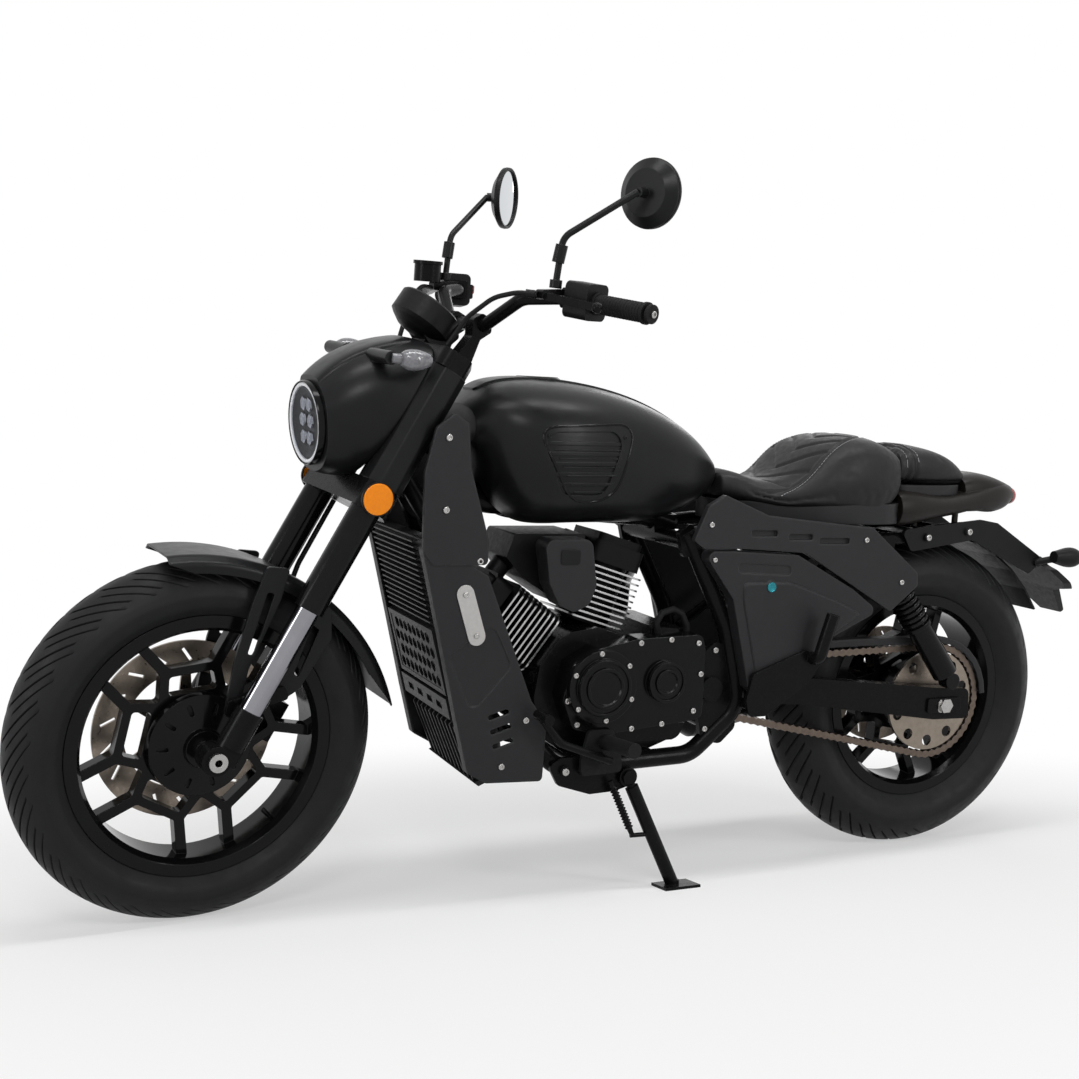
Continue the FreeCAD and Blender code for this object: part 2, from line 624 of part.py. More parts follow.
def shroud():
    # A hollow side shell with three louvres low down, and the flat ear above it.
    outline = [(1070, 632), (1100, 632), (1091, 600), (1060, 476), (1027, 341), (1003, 250), (970, 231),
               (866, 227), (863, 328), (893, 368), (982, 582)]
    wire = rounded([Vec(x, radiator_half, z) for x, z in outline], 8)
    shell = Part.Face(wire).extrude(Vec(0, shroud_depth, 0))
    hollow = Part.Face(wire.makeOffset2D(-4.0)).extrude(Vec(0, shroud_depth - 4, 0))
    louvre = slab([(972, 346), (936, 357), (931, 349), (968, 338)], radiator_half, 160, 3)
    louvres = []
    for k in range(3):
        part = louvre.copy()
        part.translate(Vec(-5 * k, 0, -25 * k))
        louvres.append(part)
    shell = shell.cut(hollow).cut(Part.makeCompound(louvres))
    recess = slab([(1046, 450), (1001, 352), (932, 428), (968, 500)], radiator_half + shroud_depth - 2, 160,
                  14)
    seat = slab([(1046, 572), (1009, 583), (982, 478), (1008, 460)], radiator_half + 8,
                radiator_half + shroud_depth, 6)
    shell = fuse([shell.cut(recess), seat])
    upper = slab([(1098, 622), (1100, 750), (1083, 822), (1052, 846), (1028, 830), (1022, 760), (985, 640),
                  (985, 600), (1080, 600)], radiator_half + shroud_depth - 5,
                  radiator_half + shroud_depth + 3, 8)
    return fuse([shell, upper])


def fuel_tank():
    # The body with a ribbed emblem recess on each flank and a raised strip with the filler cap on top.
    body = tank_body().cut(box((400, -32, 600), (1100, 32, tank_tunnel_top)))
    emblem = [(911, 820), (742, 825), (781, 715), (863, 717)]
    pocket = slab(emblem, 100, 200, 24).cut(tank_body(-3.0))
    ribs = [slab([(740, z), (916, z), (916, z + 6), (740, z + 6)], 100, 200) for z in range(732, 816, 17)]
    ribs = Part.makeCompound(ribs).common(slab(emblem, 100, 200,
                                               24)).common(tank_body(-1.5)).cut(tank_body(-6.0))
    strip = tank_body(3.5).common(Part.Face(rounded(
        [Vec(x, y, 780) for x, y in ((975, 30), (905, 36), (575, 26), (575, -26), (905, -36), (975, -30))],
        10)).extrude(Vec(0, 0, 160))).cut(tank_body(-4.0))
    cap = spun([(0, 0), (0, 40), (7, 40), (10, 36), (10, 0)], (846, 0, 899), (846, 0, 930))
    body = body.cut(both(pocket)).fuse(ribs.Solids + other_side(ribs).Solids + [strip, cap])
    return max(body.Solids, key=lambda s: s.Volume)


def rider_seat():
    return loft([oval(*row) for row in (
        (497, 57, 107, 60, 3.4), (440, 47, 101, 92, 3.4), (370, 39, 97, 120, 3.4),
        (300, 31, 147, 136, 3.4), (240, 27, 177, 140, 3.4), (170, 27, 177, 132, 3.4),
        (124, 55, 161, 112, 3.4))])


def pillion_seat():
    return loft([oval(*row) for row in (
        (116, 87, 163, 92, 3.4), (60, 84, 165, 96, 3.4), (-10, 83, 154, 86, 3.4), (-66, 86, 123, 66, 3.4))])


def side_cover():
    face = 132.0
    shell = slab([(584, 621), (523, 621), (385, 613), (258, 548), (197, 506), (305, 456), (363, 366),
                  (444, 351),
                  (472, 371), (516, 535)], face, 160, 12)
    recess = slab([(512, 600), (400, 594), (396, 576), (508, 582)], 158, 162, 8)
    lock = rod((440, 160, 556), (440, 163, 556), 11)
    shell = shell.cut(recess).fuse(lock)
    tube = frame_tube_run(seat_gap)
    bosses = []
    for x, z in ((506, 520), (560, 612)):
        boss = rod((x, frame_y + 6, z), (x, face + 2, z), 7).cut(tube)
        bosses.append(piece_nearest(boss, (x, face + 2, z)))
    return fuse([shell] + bosses)


def seat_trim():
    panel = slab([(604, -5), (578, 56), (545, 75), (452, 39), (288, 23), (224, 18), (113, -68),
                  (111, -93), (170, -140), (254, -93), (371, -28), (500, -20), (582, -20)],
                 trim_y, trim_y + 12, 6)
    for x0, x1 in ((433, 488), (357, 409), (275, 342)):
        lift = 0.09 * (x0 - 430)
        panel = panel.cut(slab([(x0, 2 + lift), (x1, 2 + lift), (x1, 13 + lift), (x0, 13 + lift)],
                               trim_y + 5, trim_y + 20, 4))
    return panel


def tail_cowl():
    body = loft([oval(*row) for row in (
        (118, 7, 83, 108, 3.4), (40, 17, 79, 104, 3.4), (-60, 31, 77, 90, 3.4),
        (-180, 41, 97, 66, 3.4), (-203, 53, 89, 54, 3))])
    hump = loft([oval(*row) for row in ((-69, 45, 107, 66, 3), (-104, 45, 114, 68, 3),
                                        (-170, 45, 105, 62, 3), (-204, 57, 93, 50, 3))])
    body = fuse([body, hump]).cut(box((-150, -86, -60), (130, 86, 41)))
    seat = pillion_seat()
    seat.translate(Vec(0, 0, -seat_gap))
    body = body.cut(pillion_seat())
    pads = [piece_nearest(rod((x, y, 50), (x, y, 115), 8).cut(seat), (x, y, 50))
            for x in (80, -30) for y in (40, -40)]
    posts = [rod((x, s * 74, 10), (x, s * 74, 60), 6) for x in (60, -40) for s in (1, -1)]
    rail = pipe(rail_points, 12 + seat_gap, 90)
    posts = [post.cut(rail if post.CenterOfMass.y > 0 else other_side(rail)) for post in posts]
    whole = fuse([body] + pads + posts)
    return piece_nearest(whole, (0, 0, 55)) if len(whole.Solids) > 1 else whole


def tail_lamp():
    return loft([oval(*row) for row in ((-204, 49, 89, 52, 3), (-213, 50, 88, 50, 3),
                                        (-219, 55, 83, 44, 3))])


def plate_carrier():
    # Two arms under the tail and the winged tongue that holds the number plate.
    arm = slab([(104, 5), (-93, 25), (-132, 19), (-260, -55), (-224, -85), (-72, -15), (78, -37)], 86.5, 94.5,
               10)
    bolts = [rod((x, 94, z), (x, 99, z), 8) for x, z in ((43, -9), (-57, 2))]
    profile = slab([(-222, -46), (-258, -50), (-332, -110), (-393, -174), (-386, -180), (-322, -119),
                    (-252, -62),
                    (-222, -60)], -120, 120, 5)
    half = [(0, -40), (90, -40), (90, -68), (106, -76), (114, -100), (102, -116), (62, -122), (24, -184),
            (0, -184)]
    outline = rounded([Vec(-420, y, z) for y, z in half[1:-1] + [(-y, z) for y, z in half[-2:0:-1]]], 7)
    tongue = Part.Face(outline).extrude(Vec(220, 0, 0)).common(profile)
    lip = slab([(-235, -50), (-268, -58), (-262, -66), (-232, -62)], -94, 94, 3)
    side = fuse([arm] + bolts)
    return fuse([side, other_side(side), tongue, lip])


def rear_indicators():
    stalk = rod((-240, 94.5, -61), (-270, 128, -47), 7)
    stalk = fuse([stalk.cut(box((-300, 80, -145), (-200, 94.5, 55))),
                  rod((-242, 94.5, -61), (-242, 100, -61), 8)])
    pod = loft([oval(*row, 12, 132) for row in ((-250, -57, -33, 11, 2.2), (-280, -65, -27, 18, 2.2),
                                                (-306, -63, -29, 17, 2.2), (-314, -57, -35, 12, 2.2))])
    return both(fuse([stalk, pod]))


def rider_pegs():
    inner = frame_y + frame_tube + 18
    peg = rod((757, inner + 8, 292), (748, 252, 300), 13)
    bracket = slab([(796, 232), (798, 262), (786, 312), (740, 312), (722, 270), (718, 236)], inner, inner + 8,
                   8)
    side = fuse([peg, bracket] + [rod((x, frame_y, z), (x, inner, z), r) for x, z, r in peg_arms])
    return both(side.cut(frame_tube_run(seat_gap)))


def foot_levers():
    face = frame_y + frame_tube + 26
    gear = pipe([(752, 176, 262), (850, 176, 300), (890, 176, 350)], 7, 30)
    toe = rod((890, 168, 350), (890, 215, 350), 9)
    brake = pipe([(752, -176, 262), (850, -176, 300), (890, -176, 350)], 7, 30)
    pad = box((872, -205, 346), (915, -168, 358))
    pins = [rod((764, s * face, 266), (764, s * 178, 266), 8) for s in (1, -1)]
    return Part.makeCompound([fuse([gear, toe, pins[0]]), fuse([brake, pad, pins[1]])])


def pillion_pegs():
    bracket = slab([(482, 352), (470, 400), (360, 440), (322, 420), (350, 380), (440, 322), (474, 322)], 163,
                   171, 10)
    peg = pipe([(345, 170, 425), (345, 190, 428), (328, 200, 510)], 12, 14)
    mount = rod((458, 112, 337), (458, 163, 337), 9).cut(frame_tube_run(seat_gap))
    return both(fuse([bracket, peg] + [max(mount.Solids, key=lambda s: s.CenterOfMass.y)]))


def rear_inner_fender():
    outer, inner = [], []
    for i in range(13):
        angle = math.radians(35 + i * 9.5)
        outer.append((guard_radius * math.cos(angle), rear_radius + guard_radius * math.sin(angle)))
        inner.append(((guard_radius - 4) * math.cos(angle),
                      rear_radius + (guard_radius - 4) * math.sin(angle)))
    return slab(outer + inner[::-1], -60, 60)


def rear_caliper():
    x, _, z = rear_axle_at
    body = box((58, -92, z + 41.5), (128, -48, z + 97.5))
    pot = rod((94, -99, z + 70), (94, -90, z + 70), 20)
    bracket = slab([(-26, z - 10.5), (10, z - 26.5), (60, z - 10.5), (128, z + 41.5), (128, z + 97.5),
                    (58, z + 97.5), (24, z + 39.5), (-20, z + 24.5)], -101, -92, 6)
    whole = fuse([body, bracket, pot]).cut(rod((x, -110, z), (x, -40, z), 15 + seat_gap))
    return whole.cut(rod((x, -70.5, z), (x, -61.5, z), rear_disc + 4))


def stand_bracket():
    y = frame_y + frame_tube + 0.5
    plate = slab([(852, 250), (826, 262), (730, 262), (700, 244), (680, 226), (684, 206), (720, 196),
                  (770, 194),
                  (832, 214)], y, y + 8, 12)
    x, py, z = stand_pivot
    pin = rod((x, y + 8, z), (x, py + 12, z), 7)
    cap = rod((x, py + 9.5, z), (x, py + 14, z), 12)
    bolts = [rod((bx, y + 8, 240), (bx, y + 14, 240), 9) for bx in (822, 748)]
    body = fuse([plate, pin, cap] + bolts)
    for ax, az, r in peg_arms:
        body = body.cut(rod((ax, 100, az), (ax, 200, az), r + seat_gap))
    return body


def handlebar():
    return fuse([bar_run(), other_side(bar_run())])


def bar_clamps():
    y = 46
    riser = slab([(-421, 619), (-391, 631), (-405, 652), (-424, 676), (-424, 704), (-441, 713), (-459, 704),
                  (-459, 682), (-439, 669)], y - 14, y + 14, 6).cut(bar_run(seat_gap))
    return [riser, other_side(riser)]


def grips():
    grip = fuse([rod(grip_at(6), grip_at(106), 15), rod(grip_at(4), grip_at(9), 17.5),
                 rod(grip_at(101), grip_at(106), 18)])
    grip = grip.cut(rod(grip_at(-5), grip_at(130), bar_radius + seat_gap))
    weight = rod(grip_at(-6), grip_at(-0.3), 15)
    return both(Part.makeCompound([grip, weight]))


def switchgear():
    pod = grip_block(107, 155, -24, 26, -28, 30, 10)
    ledge = grip_block(116, 150, -30, -20, -14, 12, 3)
    return both(fuse([pod, ledge]).cut(bar_run(seat_gap)))


def mirrors():
    # Stem with its knurled nut, arm and a round housing with a domed edge.
    sides = []
    for turn in (21.0, 48.0):
        stem = pipe([(-495, 195, 768), (-501, 197, 843), (-599, 251, 922)], 5.5, 30)
        foot = rod((-495, 195, 763), (-495.5, 195, 776), 10)
        nut = rod((-496, 195, 803), (-500, 197, 831), 10)
        back = Vec(math.cos(math.radians(turn)), math.sin(math.radians(turn)), 0)
        middle = Vec(-626, 240, 923)
        housing = spun([(-9, 0), (-9, 55.5), (-3, 55.5), (9, 38), (9, 0)], middle, middle + back)
        sides.append(fuse([stem, foot, nut, housing, rod(middle, (-599, 251, 922), 8)]))
    return Part.makeCompound([sides[0], other_side(sides[1])])


def instrument():
    # A round speedometer with a domed back, on a housing that reaches down to the clamp.
    face = Vec(-0.552, 0, 0.834)
    low = Vec(-351, 0, 683)
    pod = spun([(0, 0), (0, 48), (5, 54), (40, 54), (43, 51), (43, 47), (40, 46), (40, 0)], low, low + face)
    dome = spun([(-14, 0), (-13, 18), (-9, 34), (0, 48), (2, 0)], low, low + face)
    house = slab([(-415, 669), (-411, 691), (-385, 701), (-347, 676), (-359, 659), (-395, 651)],
                 -30, 30, 6)
    post = fork_box(upper_clamp[1] + 0.3, upper_clamp[1] + 40, 24, 60, -22, 22)
    return fuse([pod, dome, house, post])


def headlamp_cowl():
    # A moulded nacelle that opens round the lamp and closes over the top clamp, with the signals' stubs.
    body = loft([oval(x, low, high, half, 2.4) for x, low, high, half in (
        (-161, 449, 588, 70), (-185, 439, 609, 84), (-220, 435, 634, 98), (-260, 446, 650, 106),
        (-305, 501, 661, 108), (-355, 581, 657, 100))])
    hood = loft([oval(x, low, high, half, 3.4) for x, low, high, half in (
        (-163, 560, 593, 40), (-203, 590, 628, 46), (-260, 620, 654, 50), (-318, 640, 666, 50))])
    stub = rod((-250, 50, 636), (-250, 126, 636), 11)
    start, facing = lamp_line()
    body = fuse([body, hood, stub, other_side(stub)]).cut(rod(start - facing * seat_gap, start + facing * 80,
                                                              200))
    body = body.cut(fork_box(300, 752, -260, 66.4, -200, 200))
    return max(body.Solids, key=lambda s: s.Volume)


def headlamp():
    # Chromed ring and domed lens.
    start, facing = lamp_line()
    return spun([(0, 0), (0, 69), (8, 69), (11, 66.5), (11, 61), (14, 50), (17, 30), (18, 0)], start,
                start + facing)


def front_fender():
    radius = front_radius + 71
    centre = (33.0, -53.0)
    band = fender_band(centre, radius, 70, -74, 6, 3)

    def at(angle, out):
        a = math.radians(angle)
        return (centre[0] + (radius + out) * math.sin(a), centre[1] + (radius + out) * math.cos(a))

    nose = slab([at(6.5, -9), at(6.5, -45), at(-4, -45), at(0, -26)], -80, 80)
    tail = slab([at(-74.5, -4), at(-62, -26), at(-62, -45), at(-76, -45)], -80, 80)
    band = band.cut(nose).cut(tail)
    y = fender_stay_y
    top = front_radius
    fore = slab([(-84, top - 1), (-121, top - 5), (-108, 245), (-59, 133), (-45, 65), (-22, 61),
                 (-36, 151), (-63, 246)], y - 6, y, 6)
    fore = fore.cut(slab([(-97, 254), (-85, 257), (-56, 158), (-66, 154)], y - 10, y + 5, 4))
    aft = slab([(-163, top - 46), (-195, top - 76), (-197, 175), (-145, 94), (-125, 82), (-107, 97),
                (-149, 177)], y - 6, y, 6)
    aft = aft.cut(slab([(-175, 191), (-163, 201), (-135, 121), (-143, 113)], y - 10, y + 5, 3))
    return fuse([band, fore, aft, other_side(fore), other_side(aft)])


def front_signals():
    pod = loft([Part.Wire(Part.makeCircle(r, Vec(x, 132, 635), Vec(1, 0, 0)))
                for x, r in ((-264, 10), (-272, 15), (-300, 15), (-314, 9))])
    stalk = rod((-281, 126.3, 635.5), (-281, 134, 635.5), 8)
    arm = rod((-250, 126.3, 636), (-281, 130, 635.5), 8)
    return both(fuse([pod, stalk, arm.cut(box((-300, 100, 600), (-200, 126.3, 700)))]))


def front_caliper():
    x, _, z = front_axle_at
    body = fork_box(40, 112, -88, 8, -90, -42)
    lug = fork_box(50, 72, 6, 24, -102, -84)
    pots = [rod(fork(s, -56, -97), fork(s, -56, -88), 15) for s in (58, 94)]
    whole = fuse([body, lug] + pots).cut(fork_rod(-20, 140, tube_offset, -leg_y, foot_radius + seat_gap))
    whole = whole.cut(slab([(-21, 53), (-26, 89), (-119, 107), (-135, 81)], -81, -72))
    return whole.cut(rod((x, -disc_y - 4.5, z), (x, -disc_y + 4.5, z), front_disc + 2)).cut(
        rod((x, -80, z), (x, -40, z), 56))


def stand_points():
    foot = inverse_place(Vec(stand_foot[0], stand_foot[1], 4))
    return vec(stand_pivot), foot


def side_stand():
    # Leg, flat foot on the ground, eye on its pin and the spring.
    pivot, foot = stand_points()
    x, y, z = pivot.x, pivot.y, pivot.z
    centre = Vec(x, y + 4.5, z)
    run = foot - centre
    leg = rod(centre + run * 0.09, centre + run * 0.985, stand_radius)
    neck = rod(centre + run * 0.02, centre + run * 0.14, 8)
    pad = Part.makeBox(70, 52, 5, Vec(stand_foot[0] - 40, stand_foot[1] - 22, 0))
    pad = pad.fuse(Part.makeCylinder(12, 12, Vec(stand_foot[0], stand_foot[1], 0)))
    pad.Placement = place().inverse()
    eye = rod((x, y, z), (x, y + 9, z), 17)
    body = fuse([leg, neck, pad, eye] + stand_spring(centre + run * 0.53)).cut(box((600, 60, 150),
                                                                                   (800, y, 260)))
    body = body.cut(rod((x, y + 9.1, z), (x, y + 30, z), 13))
    return body.cut(rod((x, y - 20, z), (x, y + 40, z), 7 + running_gap))


def frame_tube_run(grow=0.0):
    y = frame_y
    tube = pipe([(wheelbase - 333, 10, front_radius + 441), (972, 94, 520), (880, 98, 300), (826, y, 238),
                 (560, y, 245), (460, y, 330), (500, y, 480), (592, y, rail_z + 5)], frame_tube + grow,
                [60, 60, 50, 60, 60, 100])
    return tube.cut(box((900, -100, 400), (wheelbase, 24, 1100)))


def front_pipe(grow=0.0):
    return pipe([(950, -25, 505), (954, -25, 430), (892, -40, 300), (868, -66, 200), (790, -150, 192),
                 (570, -165, 206),
                 (430, -176, 232)], exhaust_radius + grow, [60, 60, 60, 70, 90])


def grip_at(t):
    return vec(grip_end) + vec(grip_line) * t


def spun(profile, start, end):
    # A profile of (distance, radius) points turned about the line from start to end.
    start, run = vec(start), vec(end) - vec(start)
    run.normalize()
    side = run.cross(Vec(0, 1, 0))
    side.normalize()
    points = [start + run * t + side * r for t, r in profile]
    return Part.Face(Part.makePolygon(points + points[:1])).revolve(start, run, 360)


def piece_nearest(shape, point):
    # The solid of a cut shape whose centre lies nearest to a point.
    return min(shape.Solids, key=lambda s: (s.CenterOfMass - vec(point)).Length)


def by_axle(x, z):
    # A point of the side view that keeps its place from the front axle.
    return (wheelbase + x, front_radius + z)


def at_head(shape):
    # A shape of the steered group, at its place on the machine.
    shape = shape.copy()
    shape.translate(vec(front_wheel_at))
    return shape


def at_tail(shape):
    # The same shape, measured from the height of the seat rails.
    shape = shape.copy()
    shape.translate(Vec(0, 0, -rail_z))
    return shape


def cast_arms(centre, reach, half_depth, start_angle):
    # Five pairs of prongs tied by a five-sided ring: a disc opened by three kinds of window.
    x, _, z = centre
    size = reach / 189.0
    disc = rod((x, -half_depth, z), (x, half_depth, z), reach + 3)
    pair = [(-31, 196), (31, 196), (31, 126), (0, 94), (-31, 126)]
    between = [(-34.5, 129), (-88.8, 205), (88.8, 205), (34.5, 129)]
    under = [(-35.6, 115), (35.6, 115), (39.4, 84), (-39.4, 84)]
    windows = []
    for outline, turn in ((pair, 0), (between, 36), (under, 36)):
        window = slab([(x + u * size, z + v * size) for u, v in outline], -half_depth - 1, half_depth + 1, 6)
        windows += [spin(window, centre, (0, 1, 0), start_angle + turn + 72 * k) for k in range(5)]
    return disc.cut(Part.makeCompound(windows))


def ring_of(shape, centre, count, start=0.0):
    return Part.makeCompound([spin(shape, centre, (0, 1, 0), start + 360.0 / count * k)
                              for k in range(count)])


def slotted_disc(centre, y, radius, inner, count):
    # A flat brake disc with a ring of slanted slots.
    x, _, z = centre
    middle = (radius + inner) / 2 + 2
    half = (radius - inner) / 4
    disc = rod((x, y - 2.5, z), (x, y + 2.5, z), radius, inner)
    slot = slab([(x - 2.5, z + middle - half), (x + 2.5, z + middle - half), (x + 2.5, z + middle + half),
                 (x - 2.5, z + middle + half)], y - 4, y + 4)
    slot = spin(slot, (x, 0, z + middle), (0, 1, 0), 35)
    return disc.cut(ring_of(slot, centre, count))


def fork_reflectors():
    # Round reflectors on the two ends of the lower clamp.
    s, n = sum(lower_clamp) / 2, 42
    face = 129.4
    return both(rod(fork(s, n, face), fork(s, n, face + 5), 16))


def hexagon(start, reach, radius):
    x, y, z = start
    points = [Vec(x + radius * math.cos(k * math.pi / 3), y, z + radius * math.sin(k * math.pi / 3))
              for k in range(7)]
    return Part.Face(Part.makePolygon(points)).extrude(Vec(0, reach, 0))


def radiator_point(v, w, y=0.0):
    # A point of the sloped front: v up the face from its lower bend, w ahead of it.
    return Vec(1018 + 0.266 * v + 0.964 * w, y, 332 + 0.964 * v - 0.266 * w)


def radiator_block(v0, v1, w0, w1, y0, y1):
    corners = [radiator_point(v, w, y0) for v, w in ((v0, w0), (v1, w0), (v1, w1), (v0, w1))]
    return Part.Face(Part.makePolygon(corners + corners[:1])).extrude(Vec(0, y1 - y0, 0))


def honeycomb(v0, v1, half, w0, w1, size, wall):
    # A grille of six-sided holes in staggered rows.
    plate = radiator_block(v0, v1, w0, w1, -half, half)
    holes = []
    rows = int((v1 - v0 - wall) / (size * 0.866 + wall))
    step_v, step_y = (v1 - v0) / rows, size + wall
    for row in range(rows):
        v = v0 + step_v * (row + 0.5)
        count = int((2 * half - 2 * wall) / step_y) - row % 2
        for i in range(count):
            y = (i - (count - 1) / 2) * step_y
            points = [radiator_point(v + size * 0.56 * math.cos(a * math.pi / 3), w0 - 1,
                                     y + size * 0.56 * math.sin(a * math.pi / 3)) for a in range(7)]
            hole = Part.Face(Part.makePolygon(points)).extrude(
                radiator_point(0, w1 - w0 + 2) - radiator_point(0, 0))
            holes.append(hole)
    return plate.cut(Part.makeCompound(holes))


def badge_plates():
    # Plain rounded plates with two bolts, one on each shroud.
    face = radiator_half + shroud_depth
    plate = slab([(1036, 560), (1014, 568), (990, 474), (1002, 466), (1010, 470)], face, face + 2.5, 7)
    bolts = [rod((x, face + 2, z), (x, face + 5, z), 4) for x, z in ((1021, 551), (999, 483))]
    return both(fuse([plate] + bolts))


def tank_body(grow=0.0):
    return loft([oval(x, low - min(grow, 0), high + grow, half + grow, 2.7) for x, low, high, half in (
        (505, 722, 776, 52), (545, 692, 812, 84), (620, 664, 856, 118), (720, 657, 888, 146),
        (820, 656, 902, 165), (900, 664, 903, 166), (955, 716, 892, 144), (1000, 786, 858, 106))])


def grip_block(t0, t1, back, front, low, high, radius):
    # A block round the bar: t along the grip, the rest across it.
    line = vec(grip_line)
    up = Vec(0, 0, 1) - line * line.z
    fore = up.cross(line)
    start = grip_at(t0)
    wire = rounded([start + fore * a + up * b
                    for a, b in ((back, low), (front, low), (front, high), (back, high))],
                   radius)
    return Part.Face(wire).extrude(grip_at(t1) - start)


def hand_levers():
    # Clutch lever at the left and brake lever with its fluid reservoir at the right.
    band = grip_block(160, 171, -16, 16, -16, 17, 6)
    arm = slab([(-517, 741), (-467, 744), (-467, 759), (-517, 763)], 182, 204, 4)
    arm = arm.cut(grip_block(100, 159.6, -30, 60, -40, 40, 1))
    side = fuse([band, arm]).cut(bar_run(seat_gap)).fuse(lever_blade())
    knob = rod((-456, -190, 758), (-456, -190, 789), 24)
    cap = rod((-456, -190, 789), (-456, -190, 795), 26.5)
    return Part.makeCompound([side, fuse([other_side(side), knob, cap])])


def lever_blade():
    plan = [(-487, 190), (-469, 190), (-474, 212), (-484, 240), (-494, 270), (-500, 303), (-511, 303),
            (-505, 268),
            (-494, 234), (-487, 208)]
    wire = rounded([Vec(x, y, 744) for x, y in plan], 5)
    blade = Part.Face(wire).extrude(Vec(0, 0, 12))
    tip = Part.makeSphere(8.5, Vec(-505.5, 306, 750))
    return spin(fuse([blade, tip]), (-478, 190, 750), (1, 0, 0), -6)


def control_cables():
    # Clutch cable and front brake hose from the perches down behind the lamp, and the hose on to the caliper.
    clutch = pipe([(-462, 188, 751), (-440, 172, 752), (-415, 140, 741), (-385, 110, 706), (-363, 92, 659)],
                  4, 60)
    boot = rod((-462.5, 188.5, 751), (-450, 180, 751.5), 6.5)
    hose = pipe([(-464, -187, 748), (-437, -168, 750), (-409, -138, 737), (-381, -108, 701),
                 (-361, -90, 657)], 4, 60)
    low = pipe([fork(454.5, 4, -99), fork(330, 2, -100), fork(205, -16, -94), fork(114, -58, -82)], 4.5, 60)
    return Part.makeCompound([fuse([clutch, boot]), hose, low])


def fender_band(centre, radius, half, start, end, thick):
    # A curved mudguard of constant section about its own centre.
    x, z = centre
    shape = [(-half, -27), (-half, -11), (-half + 16, 0), (half - 16, 0), (half, -11), (half, -27),
             (half - thick, -27), (half - thick, -12), (half - 17, -thick), (-half + 17, -thick),
             (-half + thick, -12),
             (-half + thick, -27)]
    wire = rounded([Vec(x, y, z + radius + r) for y, r in shape], [0, 10, 14, 14, 10, 0, 0, 8, 11, 11, 8, 0])
    band = Part.Face(wire).revolve(Vec(x, 0, z), Vec(0, 1, 0), end - start)
    return spin(band, (x, 0, z), (0, 1, 0), start)


def moved(point):
    return FreeCAD.Placement(vec(point), FreeCAD.Rotation())


def bar_run(grow=0.0):
    # The handlebar's tube, from the left end to the middle.
    return pipe([grip_end, grip_at(175), (-467, 142, 743), (-443, 62, 693), (-443, 0, 693)],
                bar_radius + grow, [50, 34, 40])


def lamp_line():
    # The back of the headlamp and the way that it faces, a little down.
    return Vec(-170, 0, 519), Vec(0.997, 0, -0.075)


def stand_spring(leg_at):
    # Coil spring ahead of the leg, hooked on a pin low down.
    start, end = Vec(737, 151, 219), leg_at + Vec(37, -2, 0)
    length = (end - start).Length
    profile = [(0, 0), (0, 4.5), (10, 4.5)]
    turns = int((length - 24) / 6)
    for k in range(turns):
        t = 14 + 6 * k
        profile += [(t - 2.6, 5), (t, 7.5), (t + 2.6, 5)]
    profile += [(length - 6, 4.5), (length, 4.5), (length, 0)]
    return [spun(profile, start, end), rod(leg_at, end + Vec(4, 0, 0), 4)]


def wheel_bottom(centre, axle, radius, crown):
    return centre.z - (radius - crown) * math.sqrt(1 - axle.z ** 2) - crown


def steer_placement(angle):
    # The turn of the steered group about the steering axis.
    return FreeCAD.Placement(Vec(0, 0, 0), FreeCAD.Rotation(along, angle), fork(0, 0))


def place():
    # Pitch so that both tyres touch the ground once the bars are turned and the machine leans.
    def leaned(pitch):
        move = FreeCAD.Placement(Vec(), FreeCAD.Rotation(Vec(1, 0, 0), -lean))
        return move.multiply(FreeCAD.Placement(Vec(), FreeCAD.Rotation(Vec(0, 1, 0), pitch)))

    def bottoms(pitch):
        turn = leaned(pitch)
        rear = wheel_bottom(turn.multVec(vec(rear_axle_at)), turn.Rotation.multVec(Vec(0, 1, 0)),
                            rear_radius, rear_crown)
        whole = turn.multiply(moved(front_wheel_at)).multiply(steer_placement(steer_rest))
        front = wheel_bottom(whole.multVec(vec(front_axle_at)), whole.Rotation.multVec(Vec(0, 1, 0)),
                             front_radius, front_crown)
        return rear, front

    low, high = 0.0, 0.5
    for _ in range(12):
        gap_low, gap_high = (b - a for a, b in (bottoms(low), bottoms(high)))
        if abs(gap_high - gap_low) < 1e-9:
            break
        low, high = high, high - gap_high * (high - low) / (gap_high - gap_low)
    turn = leaned(high)
    turn.Base = turn.Base + Vec(0, 0, -bottoms(high)[0])
    return turn


def crown_of(width, rise):
    return (width ** 2 + rise ** 2) / (2 * rise)


front_crown = crown_of(front_width / 2 * tread_share, front_wall * tread_drop)
rear_crown = crown_of(rear_width / 2 * tread_share, rear_wall * tread_drop)


def inverse_place(point):
    return place().inverse().multVec(point)


